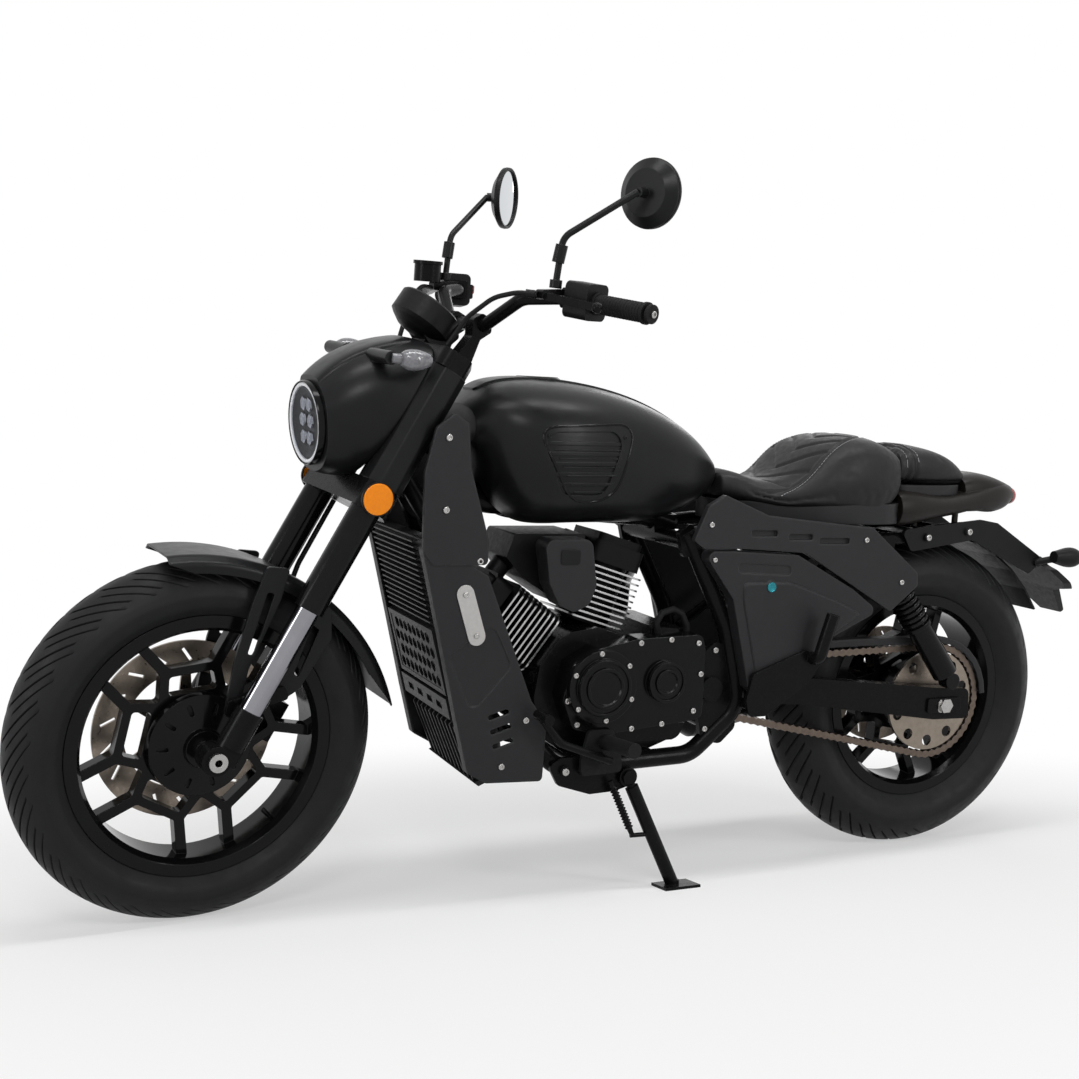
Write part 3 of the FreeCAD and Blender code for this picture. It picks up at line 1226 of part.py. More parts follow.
# What each sub-part is made by, in the three groups that keep their own zero.
steered = {
    "triple_clamps": triple_clamps, "fork_covers": fork_covers, "fork_tubes": fork_tubes,
    "fork_stanchions": fork_stanchions, "fork_feet": fork_feet, "fork_reflectors": fork_reflectors,
    "front_axle": front_axle, "handlebar": handlebar, "grips": grips, "switchgear": switchgear,
    "hand_levers": hand_levers, "control_cables": control_cables, "mirrors": mirrors,
    "instrument": instrument,
    "headlamp_cowl": headlamp_cowl, "headlamp": headlamp, "front_fender": front_fender,
    "front_signals": front_signals, "front_caliper": front_caliper,
    "front_tyre": lambda: tyre(front_axle_at, front_radius, front_width, front_rim),
    "front_wheel_casting": front_wheel_casting, "front_brake_disc": front_brake_disc,
}
fixed = {
    "frame_spine": frame_spine, "frame_cradle": lambda: both(frame_side()), "swingarm": swingarm,
    "rear_axle": rear_axle, "drive_chain": drive_chain, "chain_guard": chain_guard,
    "shock_bodies": shock_bodies,
    "front_cylinder": lambda: cylinder(front_bank), "rear_cylinder": lambda: cylinder(rear_bank),
    "crankcase": crankcase, "engine_covers": lambda: Part.makeCompound([cover_left(), cover_right()]),
    "horn_cover": horn_cover, "intake_box": intake_box, "exhaust_pipes": exhaust_pipes, "radiator": radiator,
    "radiator_shrouds": lambda: both(shroud()), "badge_plates": badge_plates, "fuel_tank": fuel_tank,
    "side_covers": lambda: both(side_cover()), "rider_pegs": rider_pegs, "foot_levers": foot_levers,
    "pillion_pegs": pillion_pegs, "rear_inner_fender": rear_inner_fender, "rear_caliper": rear_caliper,
    "stand_bracket": stand_bracket, "side_stand": side_stand,
    "rear_tyre": lambda: tyre(rear_axle_at, rear_radius, rear_width, rear_rim),
    "rear_wheel_casting": rear_wheel_casting, "rear_drive_plates": rear_drive_plates,
}
tail = {
    "seat_subframe": seat_subframe, "rider_seat": rider_seat, "pillion_seat": pillion_seat,
    "seat_trims": lambda: both(seat_trim()), "tail_cowl": tail_cowl, "tail_lamp": tail_lamp,
    "plate_carrier": plate_carrier, "rear_indicators": rear_indicators,
}


def build():
    # Places the groups, centres the whole over the row's zero and writes one file a sub-part.
    whole = place()
    front = whole.multiply(moved(front_wheel_at)).multiply(steer_placement(steer_rest))
    shapes = {}
    for group, move in ((steered, front), (fixed, whole), (tail, whole.multiply(moved((0, 0, rail_z))))):
        for name, make in group.items():
            shape = make()
            shape.Placement = move.multiply(shape.Placement)
            shapes[name] = shape
    low, high = Vec(1e9, 1e9, 1e9), Vec(-1e9, -1e9, -1e9)
    for shape in shapes.values():
        for p in shape.tessellate(0.3)[0]:
            low = Vec(min(low.x, p.x), min(low.y, p.y), min(low.z, p.z))
            high = Vec(max(high.x, p.x), max(high.y, p.y), max(high.z, p.z))
    shift = Vec(-(low.x + high.x) / 2, -(low.y + high.y) / 2, -low.z)
    for name, shape in shapes.items():
        shape.translate(shift)
        shape.exportStep("parts/" + name + ".step")
        print(name, "valid" if shape.isValid() else "INVALID", round(shape.Volume), len(shape.Solids))
    print("size", high - low, "shift", shift)


build()
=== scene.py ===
import bmesh
import bpy
import json
import math
from mathutils import Matrix, Vector
from mathutils.bvhtree import BVHTree


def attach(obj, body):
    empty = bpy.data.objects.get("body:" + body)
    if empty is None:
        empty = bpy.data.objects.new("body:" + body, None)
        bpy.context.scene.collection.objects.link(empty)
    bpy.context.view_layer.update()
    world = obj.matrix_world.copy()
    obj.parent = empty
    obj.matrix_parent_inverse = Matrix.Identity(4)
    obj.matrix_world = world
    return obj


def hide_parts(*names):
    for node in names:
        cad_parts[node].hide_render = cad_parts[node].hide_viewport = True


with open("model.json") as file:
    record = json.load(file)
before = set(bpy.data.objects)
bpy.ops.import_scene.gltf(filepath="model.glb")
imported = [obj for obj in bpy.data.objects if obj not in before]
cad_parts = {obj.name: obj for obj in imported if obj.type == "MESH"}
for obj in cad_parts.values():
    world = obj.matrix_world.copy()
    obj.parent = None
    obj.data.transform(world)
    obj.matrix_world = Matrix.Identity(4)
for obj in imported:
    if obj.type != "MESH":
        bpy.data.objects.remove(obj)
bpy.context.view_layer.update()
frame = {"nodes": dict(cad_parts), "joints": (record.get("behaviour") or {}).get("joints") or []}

scene = bpy.context.scene
print("stage: frame loaded")

# One entry a finish: colour, second colour of its variation, how large that is in metres, roughness low and
# high, metallic, bump size and height, how wide its edges are softened and how much paler they are, from wear
# and as a painted highlight.
finishes = {
    "satinPaint": {"colour": (0.0062, 0.0064, 0.007), "second": (0.009, 0.0092, 0.0098), "size": 0.05,
                   "rough": (0.28, 0.36), "bump": (0.0007, 0.05), "edge": 0.0022, "wearAndSheen": 0.01, "spec": 0.14},
    "frameBlack": {"colour": (0.0035, 0.0035, 0.004), "second": (0.006, 0.006, 0.006), "size": 0.03,
                   "rough": (0.2, 0.32), "bump": (0.0012, 0.1), "edge": 0.001, "wearAndSheen": 0.006, "spec": 0.08},
    "glossBlack": {"colour": (0.003, 0.003, 0.0035), "second": (0.005, 0.005, 0.0055), "size": 0.04,
                   "rough": (0.09, 0.17), "bump": (0.002, 0.03), "edge": 0.0022, "wearAndSheen": 0.006, "spec": 0.13},
    "mattePlastic": {"colour": (0.0125, 0.0125, 0.014), "second": (0.017, 0.017, 0.0185), "size": 0.02,
                     "rough": (0.4, 0.52), "bump": (0.0006, 0.2), "edge": 0.005, "wearAndSheen": 0.02, "spec": 0.2},
    "darkPlastic": {"colour": (0.004, 0.004, 0.0045), "second": (0.007, 0.007, 0.0075), "size": 0.02,
                    "rough": (0.36, 0.5), "bump": (0.0006, 0.2), "edge": 0.0008, "wearAndSheen": 0.012, "spec": 0.14},
    "caseBlack": {"colour": (0.0035, 0.0035, 0.004), "second": (0.007, 0.0065, 0.0065), "size": 0.03,
                  "rough": (0.18, 0.3), "bump": (0.0016, 0.16), "edge": 0.0014, "wearAndSheen": 0.012, "spec": 0.1},
    "rubber": {"colour": (0.005, 0.005, 0.0055), "second": (0.009, 0.009, 0.009), "size": 0.015,
               "rough": (0.56, 0.74), "bump": (0.0008, 0.3), "edge": 0.0015, "wearAndSheen": 0.01, "spec": 0.14},
    "tyreRubber": {"colour": (0.0075, 0.0075, 0.0085), "second": (0.012, 0.012, 0.0125), "size": 0.05,
                   "rough": (0.44, 0.6), "bump": (0.0012, 0.2), "edge": 0.0008, "wearAndSheen": 0.0, "spec": 0.16},
    "chrome": {"colour": (0.30, 0.30, 0.32), "second": (0.22, 0.22, 0.24), "size": 0.05,
               "rough": (0.06, 0.13), "metal": 1.0, "bump": (0.004, 0.01), "edge": 0.0005, "wearAndSheen": 0.0},
    "steel": {"colour": (0.46, 0.45, 0.44), "second": (0.34, 0.33, 0.32), "size": 0.01, "rough": (0.2, 0.34),
              "metal": 1.0, "bump": (0.0006, 0.08), "edge": 0.0006, "wearAndSheen": 0.1},
    "brushedPlate": {"colour": (0.44, 0.43, 0.42), "second": (0.36, 0.35, 0.34), "size": 0.006,
                     "rough": (0.36, 0.46), "metal": 1.0, "bump": (0.0005, 0.12), "edge": 0.0008,
                     "wearAndSheen": 0.05},
    "discSteel": {"colour": (0.30, 0.255, 0.215), "second": (0.19, 0.16, 0.13), "size": 0.012,
                  "rough": (0.26, 0.42), "metal": 1.0, "bump": (0.0007, 0.12), "edge": 0.0006, "wearAndSheen": 0.1},
    "chainMetal": {"colour": (0.17, 0.135, 0.11), "second": (0.08, 0.062, 0.052), "size": 0.006,
                   "rough": (0.32, 0.5), "metal": 1.0, "bump": (0.001, 0.2), "edge": 0.0005, "wearAndSheen": 0.12},
    "finBlack": {"colour": (0.0035, 0.0035, 0.004), "second": (0.0065, 0.0065, 0.007), "size": 0.02,
                 "rough": (0.36, 0.5), "bump": (0.001, 0.15), "edge": 0.0005, "wearAndSheen": 0.008, "spec": 0.1},
    "finEdge": {"colour": (0.52, 0.52, 0.52), "second": (0.38, 0.38, 0.38), "size": 0.008,
                "rough": (0.2, 0.36), "metal": 1.0, "bump": (0.0008, 0.1), "edge": 0.0004, "wearAndSheen": 0.0},
    "radiatorCore": {"colour": (0.008, 0.008, 0.009), "second": (0.014, 0.014, 0.0145), "size": 0.01,
                     "rough": (0.36, 0.52), "bump": (0.001, 0.2), "edge": 0.0005, "wearAndSheen": 0.04, "spec": 0.2},
    "leather": {"colour": (0.0085, 0.0082, 0.0085), "second": (0.0125, 0.012, 0.0122), "size": 0.03,
                "rough": (0.42, 0.56), "bump": (0.0018, 0.3), "edge": 0.001, "wearAndSheen": 0.0, "spec": 0.2},
    "thread": {"colour": (0.26, 0.26, 0.27), "second": (0.2, 0.2, 0.21), "size": 0.003, "rough": (0.6, 0.8),
               "bump": (0.0008, 0.3), "edge": 0.0003, "wearAndSheen": 0.0},
    "bronzeBlack": {"colour": (0.0085, 0.007, 0.0062), "second": (0.013, 0.011, 0.0095), "size": 0.05,
                    "rough": (0.34, 0.44), "bump": (0.0007, 0.05), "edge": 0.003, "wearAndSheen": 0.012,
                    "spec": 0.15},
    "amberLens": {"colour": (0.95, 0.29, 0.004), "second": (0.80, 0.20, 0.003), "size": 0.004,
                  "rough": (0.12, 0.22), "bump": (0.003, 0.5), "edge": 0.0005, "wearAndSheen": 0.0, "coat": 0.15,
                  "spec": 0.15},
    "redLens": {"colour": (0.30, 0.012, 0.008), "second": (0.2, 0.006, 0.006), "size": 0.006,
                "rough": (0.1, 0.2), "bump": (0.003, 0.4), "edge": 0.0005, "wearAndSheen": 0.0, "coat": 0.6},
    "clearLens": {"colour": (0.05, 0.05, 0.055), "second": (0.26, 0.26, 0.28), "size": 0.006,
                  "rough": (0.06, 0.16), "bump": (0.004, 0.9), "edge": 0.0005, "wearAndSheen": 0.0, "coat": 0.3},
    "lampWhite": {"colour": (0.86, 0.87, 0.90), "second": (0.80, 0.81, 0.84), "size": 0.01,
                  "rough": (0.2, 0.3), "bump": (0.002, 0.05), "edge": 0.0005, "wearAndSheen": 0.0},
    "mirrorGlass": {"colour": (0.66, 0.68, 0.70), "second": (0.62, 0.64, 0.66), "size": 0.05,
                    "rough": (0.02, 0.03), "metal": 1.0, "bump": (0.01, 0.0), "edge": 0.0003, "wearAndSheen": 0.0},
    "blueLock": {"colour": (0.01, 0.16, 0.20), "second": (0.02, 0.22, 0.26), "size": 0.004,
                 "rough": (0.2, 0.3), "metal": 0.7, "bump": (0.001, 0.1), "edge": 0.0004, "wearAndSheen": 0.05},
    "redSwitch": {"colour": (0.42, 0.012, 0.012), "second": (0.34, 0.01, 0.01), "size": 0.004,
                  "rough": (0.3, 0.4), "bump": (0.001, 0.1), "edge": 0.0004, "wearAndSheen": 0.02},
}

# Which solids of the part take each finish.
nodeFinish = {
    "glossBlack": ["fork_tubes", "engine_covers", "shock_bodies", "front_wheel_casting",
                   "rear_wheel_casting"],
    "satinPaint": ["fuel_tank", "headlamp_cowl", "fork_covers", "front_fender", "mirrors"],
    "bronzeBlack": ["tail_cowl"],
    "frameBlack": ["triple_clamps", "fork_feet", "handlebar", "frame_spine", "frame_cradle", "seat_subframe",
                   "swingarm", "foot_levers", "pillion_pegs", "stand_bracket", "side_stand", "hand_levers",
                   "front_caliper", "rear_caliper"],
    "mattePlastic": ["radiator_shrouds", "side_covers", "seat_trims", "horn_cover", "chain_guard"],
    "darkPlastic": ["switchgear", "instrument", "intake_box", "rear_inner_fender", "plate_carrier",
                    "rear_indicators", "control_cables"],
    "caseBlack": ["crankcase", "exhaust_pipes"],
    "finBlack": ["front_cylinder", "rear_cylinder"],
    "rubber": ["grips", "rider_pegs"],
    "tyreRubber": ["front_tyre", "rear_tyre"],
    "chrome": ["fork_stanchions"],
    "steel": ["front_axle", "rear_axle"],
    "brushedPlate": ["badge_plates"],
    "amberLens": ["fork_reflectors"],
    "discSteel": ["front_brake_disc", "rear_drive_plates"],
    "chainMetal": ["drive_chain"],
    "radiatorCore": ["radiator"],
    "leather": ["rider_seat", "pillion_seat"],
    "redLens": ["tail_lamp"],
    "clearLens": ["headlamp", "front_signals"],
}


def makeFinish(name, spec):
    # Two mixed colours, uneven roughness, a fine bump and softened edges.
    material = bpy.data.materials.new(name)
    material.use_nodes = True
    tree = material.node_tree
    shader = tree.nodes["Principled BSDF"]
    place = tree.nodes.new("ShaderNodeTexCoord")

    def noise(size, detail):
        node = tree.nodes.new("ShaderNodeTexNoise")
        node.inputs["Scale"].default_value = 1.0 / size
        node.inputs["Detail"].default_value = detail
        tree.links.new(place.outputs["Object"], node.inputs["Vector"])
        return node

    broad = noise(spec["size"], 4.0)
    tint = tree.nodes.new("ShaderNodeMix")
    tint.data_type = "RGBA"
    tint.inputs["A"].default_value = (*spec["colour"], 1)
    tint.inputs["B"].default_value = (*spec["second"], 1)
    tree.links.new(broad.outputs["Fac"], tint.inputs["Factor"])
    spread = tree.nodes.new("ShaderNodeMapRange")
    spread.inputs["To Min"].default_value, spread.inputs["To Max"].default_value = spec["rough"]
    # Most of the noise lies between these two.
    spread.inputs["From Min"].default_value, spread.inputs["From Max"].default_value = 0.3, 0.7
    tree.links.new(noise(spec["size"] * 0.4, 3.0).outputs["Fac"], spread.inputs["Value"])
    tree.links.new(spread.outputs["Result"], shader.inputs["Roughness"])
    soft = tree.nodes.new("ShaderNodeBevel")  # rounds the edges to the eye
    soft.samples = 4
    soft.inputs["Radius"].default_value = spec["edge"]
    bump = tree.nodes.new("ShaderNodeBump")
    bump.inputs["Distance"].default_value = 0.0006
    bump.inputs["Strength"].default_value = spec["bump"][1]
    tree.links.new(noise(spec["bump"][0], 2.0).outputs["Fac"], bump.inputs["Height"])
    tree.links.new(soft.outputs["Normal"], bump.inputs["Normal"])
    tree.links.new(bump.outputs["Normal"], shader.inputs["Normal"])
    colour = tint.outputs["Result"]
    # paler edges: part wear, part painted highlight
    if spec["wearAndSheen"]:
        colour = wornAndHighlitEdges(tree, soft, colour, spec)
    tree.links.new(colour, shader.inputs["Base Color"])
    shader.inputs["Metallic"].default_value = spec.get("metal", 0.0)
    shader.inputs["Specular IOR Level"].default_value = spec.get("spec", 0.5)
    shader.inputs["Coat Weight"].default_value = spec.get("coat", 0.0)
    shader.inputs["Coat Roughness"].default_value = 0.12
    return material


def wornAndHighlitEdges(tree, soft, colour, spec):
    # A paler colour where the softened normal turns away from the flat one: edge wear together with a painted
    # highlight on the edges.
    flat = tree.nodes.new("ShaderNodeNewGeometry")
    turn = tree.nodes.new("ShaderNodeVectorMath")
    turn.operation = "DOT_PRODUCT"
    tree.links.new(soft.outputs["Normal"], turn.inputs[0])
    tree.links.new(flat.outputs["Normal"], turn.inputs[1])  # 1 on a face, less at an edge
    mask = tree.nodes.new("ShaderNodeMapRange")
    mask.inputs["From Min"].default_value, mask.inputs["From Max"].default_value = 0.98, 0.8
    tree.links.new(turn.outputs["Value"], mask.inputs["Value"])
    pale = tree.nodes.new("ShaderNodeMix")
    pale.data_type = "RGBA"
    pale.inputs["B"].default_value = (*[channel + spec["wearAndSheen"] for channel in spec["second"]], 1)
    tree.links.new(mask.outputs["Result"], pale.inputs["Factor"])
    tree.links.new(colour, pale.inputs["A"])
    return pale.outputs["Result"]


materials = {name: makeFinish(name, spec) for name, spec in finishes.items()}
nodes = frame["nodes"]


for finish, names in nodeFinish.items():
    for node in names:
        mesh = nodes[node].data
        mesh.materials.clear()
        mesh.materials.append(materials[finish])
print("stage: finishes")


def jointNamed(name):
    return next(joint for joint in frame["joints"] if joint["name"] == name)


sizes = {"rake": 29.0, "rearRadius": 0.3105}


def groupSpace(wheel, height):
    # Axes of the upright machine or of its steered group, from a wheel's axle and the steering axis.
    across = Vector(jointNamed(wheel)["axis"]).normalized()
    along = Vector(jointNamed("steering_turn")["axis"]).normalized()
    ahead = across.cross(along)
    rake = math.radians(sizes["rake"])
    forward = ahead * math.cos(rake) - along * math.sin(rake)
    rise = ahead * math.sin(rake) + along * math.cos(rake)
    turn = Matrix((forward, across, rise)).transposed().to_4x4()
    return Matrix.Translation(Vector(jointNamed(wheel)["pos_m"]) - rise * height) @ turn


machine = groupSpace("rear_wheel_spin", sizes["rearRadius"])  # zero on the ground under the rear axle
steered = groupSpace("front_wheel_spin", 0.0)  # zero at the front axle


def addPiece(name, parts, finish, space, body):
    # One object from a list of (points, faces) in a group's own axes.
    points, faces = [], []
    for partPoints, partFaces in parts:
        start = len(points)
        points += [space @ Vector(point) for point in partPoints]
        faces += [tuple(start + index for index in face) for face in partFaces]
    mesh = bpy.data.meshes.new(name)
    mesh.from_pydata(points, [], faces)
    mesh.validate()
    work = bmesh.new()
    work.from_mesh(mesh)
    bmesh.ops.recalc_face_normals(work, faces=work.faces)
    work.to_mesh(mesh)
    work.free()
    mesh.materials.append(materials[finish])
    piece = bpy.data.objects.new(name, mesh)
    scene.collection.objects.link(piece)
    mesh.shade_smooth()
    mesh.set_sharp_from_angle(angle=math.radians(35))
    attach(piece, body)
    return piece


def circle(middle, side, other, radius, steps):
    # Points evenly round a middle, in the plane of two directions.
    angles = [2 * math.pi * k / steps for k in range(steps)]
    return [middle + (side * math.cos(angle) + other * math.sin(angle)) * radius for angle in angles]


def bands(rows, steps, hollow=False):
    # Faces between rows of circle points; a hollow body joins its last row to the first and has no caps.
    faces = []
    for row in range(rows if hollow else rows - 1):
        over = (row + 1) % rows
        for k in range(steps):
            ahead = (k + 1) % steps
            faces.append((row * steps + k, row * steps + ahead, over * steps + ahead, over * steps + k))
    if not hollow:
        faces += [tuple(range(steps))[::-1], tuple((rows - 1) * steps + k for k in range(steps))]
    return faces


def turned(profile, start, facing, steps=32, hollow=False):
    # A profile of (distance, radius) points turned about a line.
    start, facing = Vector(start), Vector(facing).normalized()
    side = facing.orthogonal().normalized()
    other = facing.cross(side)
    points = []
    for distance, radius in profile:
        points += circle(start + facing * distance, side, other, radius, steps)
    return points, bands(len(profile), steps, hollow)


def bolt(place, facing, radius):
    # A round head with a socket.
    depth = radius * 0.7
    return turned([(-0.0005, radius), (depth * 0.8, radius), (depth, radius * 0.86), (depth, radius * 0.5),
                   (depth * 0.45, radius * 0.46)], place, facing, 14)


def tube(points, radius, steps=10):
    # A round bar along a line of points.
    points = [Vector(point) for point in points]
    rings = []
    for i, point in enumerate(points):
        run = (points[min(i + 1, len(points) - 1)] - points[max(i - 1, 0)]).normalized()
        side = run.cross(Vector((0.3, 0.9, 0.1))).normalized()
        rings += circle(point, side, run.cross(side), radius, steps)
    return rings, bands(len(points), steps)


def joined(first, second):
    # Two rings with as many points each, closed into a solid.
    count = len(first)
    faces = [tuple(range(count)), tuple(range(count, 2 * count))[::-1]]
    faces += [(i, (i + 1) % count, count + (i + 1) % count, count + i) for i in range(count)]
    return first + second, faces


def plate(outline, y0, y1):
    # A side outline of (x, z) points, pulled across the machine.
    return joined([(x, y0, z) for x, z in outline], [(x, y1, z) for x, z in outline])


def softOutline(corners, radius, steps=6):
    # The corners of an outline turned by arcs.
    result = []
    count = len(corners)
    for i, corner in enumerate(corners):
        here = Vector(corner)
        back, ahead = Vector(corners[i - 1]) - here, Vector(corners[(i + 1) % count]) - here
        reach = min(radius, 0.45 * back.length, 0.45 * ahead.length)
        start, end = here + back.normalized() * reach, here + ahead.normalized() * reach
        for k in range(steps + 1):
            share = k / steps
            result.append(tuple(start.lerp(here, share).lerp(here.lerp(end, share), share)))
    return result


bolts = {
    "engine": {"radius": 0.0052, "y": 0.146, "sides": (1,), "places": [
        (0.577, 0.334), (0.640, 0.314), (0.700, 0.309), (0.752, 0.306), (0.806, 0.322), (0.826, 0.364),
        (0.812, 0.424), (0.768, 0.445), (0.690, 0.460), (0.630, 0.464), (0.574, 0.456), (0.566, 0.400)]},
    "bracket": {"radius": 0.0066, "y": 0.1445, "sides": (1,), "places": [(0.822, 0.240), (0.748, 0.240)]},
    "frame": {"radius": 0.0055, "y": 0.120, "sides": (1, -1),
              "places": [(0.500, 0.300), (0.535, 0.292), (0.522, 0.436)]},
    "shroud": {"radius": 0.0055, "y": 0.149, "sides": (1, -1), "places": [(1.062, 0.806), (1.062, 0.690)]},
    "shroudLow": {"radius": 0.0055, "y": 0.146, "sides": (1, -1),
                  "places": [(0.943, 0.258), (0.902, 0.335), (0.998, 0.606)]},
    "cover": {"radius": 0.0045, "y": 0.160, "sides": (1, -1), "places": [(0.560, 0.606), (0.470, 0.372)]},
    "trim": {"radius": 0.005, "y": 0.161, "sides": (1, -1),
             "places": [(0.572, 0.668), (0.238, 0.640), (0.150, 0.560)]},
    "arm": {"radius": 0.0062, "y": 0.0992, "sides": (1, -1), "places": [(0.043, 0.636), (-0.057, 0.647)]},
    "badge": {"radius": 0.0046, "y": 0.1486, "sides": (1, -1), "places": [(1.021, 0.551), (0.999, 0.483)]},
}


def addBolts():
    # Round heads in rows, on the left or on both sides.
    for name, row in bolts.items():
        parts = [bolt((x, side * row["y"], z), (0, side, 0), row["radius"])
                 for x, z in row["places"] for side in row["sides"]]
        addPiece(name + "Bolts", parts, "steel", machine, "chassis")


engineRings = {
    "crank": {"place": (0.765, 0.167, 0.388), "radii": (0.050, 0.044, 0.036, 0.030), "screws": 6},
    "clutch": {"place": (0.638, 0.156, 0.390), "radii": (0.037, 0.031, 0.024, 0.019), "screws": 0},
}


def addEngineDetail():
    # Raised rings on the two round covers, and a ring of screws round the larger one.
    parts, screws = [], []
    for ring in engineRings.values():
        place = Vector(ring["place"])
        outer, inner, lip, low = ring["radii"]
        parts.append(turned([(-0.001, outer), (0.003, outer - 0.001), (0.003, inner),
                             (-0.0005, inner - 0.001), (-0.0005, lip), (0.004, lip - 0.001), (0.004, low),
                             (0.001, low - 0.002)],
                            place, (0, 1, 0), 48))
        reach = outer + 0.009
        for k in range(ring["screws"]):
            angle = 2 * math.pi * k / ring["screws"] + 0.4
            offset = Vector((reach * math.cos(angle), -0.007, reach * math.sin(angle)))
            screws.append(bolt(place + offset, (0, 1, 0), 0.0048))
    addPiece("coverRings", parts, "glossBlack", machine, "chassis")
    addPiece("coverScrews", screws, "steel", machine, "chassis")


fins = {"angles": {"front_cylinder": 37.0, "rear_cylinder": 107.5}, "crank": (0.765, 0, 0.388),
        "halfDepth": 0.0535, "halfWidth": 0.0685, "from": 0.09}


def brightenFins():
    # The machined rim faces of the fins.
    turn, start = machine.to_3x3(), machine @ Vector(fins["crank"])
    across = turn @ Vector((0, 1, 0))
    for node, degrees in fins["angles"].items():
        mesh = nodes[node].data
        mesh.materials.append(materials["finEdge"])
        angle = math.radians(degrees)
        axis = turn @ Vector((math.cos(angle), 0, math.sin(angle)))
        side = turn @ Vector((-math.sin(angle), 0, math.cos(angle)))
        for face in mesh.polygons:
            out = face.center - start
            rim = abs(out.dot(side)) > fins["halfDepth"] or abs(out.dot(across)) > fins["halfWidth"]
            if rim and abs(face.normal.dot(axis)) < 0.2 and out.dot(axis) > fins["from"]:  # edges only
                face.material_index = 1


tread = {
    "front": {"node": "front_tyre", "body": "front_wheel", "radius": 0.299, "half": 0.059, "rim": 0.2032,
              "periods": 34, "lean": 0.34},
    "rear": {"node": "rear_tyre", "body": "rear_wheel", "radius": 0.3105, "half": 0.075, "rim": 0.1905,
             "periods": 30, "lean": 0.30},
}
# The grooves' kinds give middle and half width along one period, and start and end across the tread.
groove = {"depth": 0.0056, "kinds": ((0.08, 0.065, 0.06, 0.86), (0.58, 0.055, 0.34, 1.0)),
          "lines": (0.0, 0.014, 0.016, 0.08, 0.144, 0.146, 0.33, 0.524, 0.526, 0.58, 0.634, 0.636, 0.82)}
# Shares of the half width and of the wall's height, going down from the tread.
flankShape = {"shoulder": (0.88, 0.32), "bulge": (1.0, 0.5), "low": (0.9, 0.73), "bead": 0.62,
              "ridge": 0.0009, "flange": 0.0138}


def tyreSection(spec):
    # Points (y, radius, how far round the tread, -1 to 1, or None) of a tyre's outline, as in the CAD.
    wall = spec["radius"] - spec["rim"]
    shoulder, bulge, low = ((spec["half"] * wide, spec["radius"] - wall * down)
                            for wide, down in (flankShape[key] for key in ("shoulder", "bulge", "low")))
    drop = spec["radius"] - shoulder[1]
    arc = (shoulder[0] ** 2 + drop ** 2) / (2 * drop)
    reach = math.asin(shoulder[0] / arc)
    rows = 34
    section = [(arc * math.sin(reach * t), spec["radius"] - arc + arc * math.cos(reach * t), t)
               for t in (2 * i / rows - 1 for i in range(rows + 1))]
    pull = 2 * bulge[0] - (shoulder[0] + low[0]) / 2
    flank = []
    for i in range(1, 11):
        t = i / 10
        y = (1 - t) ** 2 * shoulder[0] + 2 * t * (1 - t) * pull + t * t * low[0]
        ridge = flankShape["ridge"] if i in (4, 5) else 0.0
        flank.append((y + ridge, shoulder[1] * (1 - t) + low[1] * t, None))
    bead, flange = spec["half"] * flankShape["bead"], spec["rim"] + flankShape["flange"]
    flank += [(bead + 0.005, flange + 0.0002, None), (bead, flange, None), (bead, spec["rim"] + 0.0006, None)]
    return [(-y, r, t) for y, r, t in flank[::-1]] + section + flank


def grooveDepth(fraction, t):
    # Long slanted grooves in turn with short shoulder ones, staggered from side to side.
    if t is None:
        return 0.0
    fraction = (fraction + (0.5 if t < 0 else 0.0)) % 1.0
    for middle, half, start, end in groove["kinds"]:
        if abs(fraction - middle) < half and start < abs(t) < end:
            return groove["depth"]
    return 0.0


def addTyre(spec):
    # Grid lines slant with the grooves, so that each groove keeps a clean edge.
    section, lines = tyreSection(spec), groove["lines"]
    axle = jointNamed(spec["body"] + "_spin")
    centre, across = Vector(axle["pos_m"]), Vector(axle["axis"]).normalized()
    up = (steered if spec["body"] == "front_wheel" else machine).to_3x3() @ Vector((0, 0, 1))
    ahead = across.cross(up)
    points, faces = [], []
    columns, rows = len(lines) * spec["periods"], len(section)
    for column in range(columns):
        period, part = divmod(column, len(lines))
        beside = (column + 1) % columns
        for row, (y, radius, t) in enumerate(section):
            slant = spec["lean"] * (abs(t) if t is not None else 1.0) ** 1.25
            angle = 2 * math.pi * (period + lines[part]) / spec["periods"] - slant
            radius -= grooveDepth(lines[part], t)
            points.append(centre + across * y + (up * math.cos(angle) + ahead * math.sin(angle)) * radius)
            over = (row + 1) % rows
            faces.append((column * rows + row, beside * rows + row, beside * rows + over,
                          column * rows + over))
    tyre = addPiece(spec["node"] + "Treaded", [(points, faces)], "tyreRubber", Matrix.Identity(4),
                    spec["body"])
    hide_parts(spec["node"])


lamp = {"start": (-0.170, 0.0, 0.519), "facing": (0.997, 0.0, -0.075), "rise": (0.075, 0, 0.997),
        "ring": 0.0655,
        "chips": ((0.030, 0.0121), (0.004, 0.0165), (-0.024, 0.0132))}  # height and distance from the middle


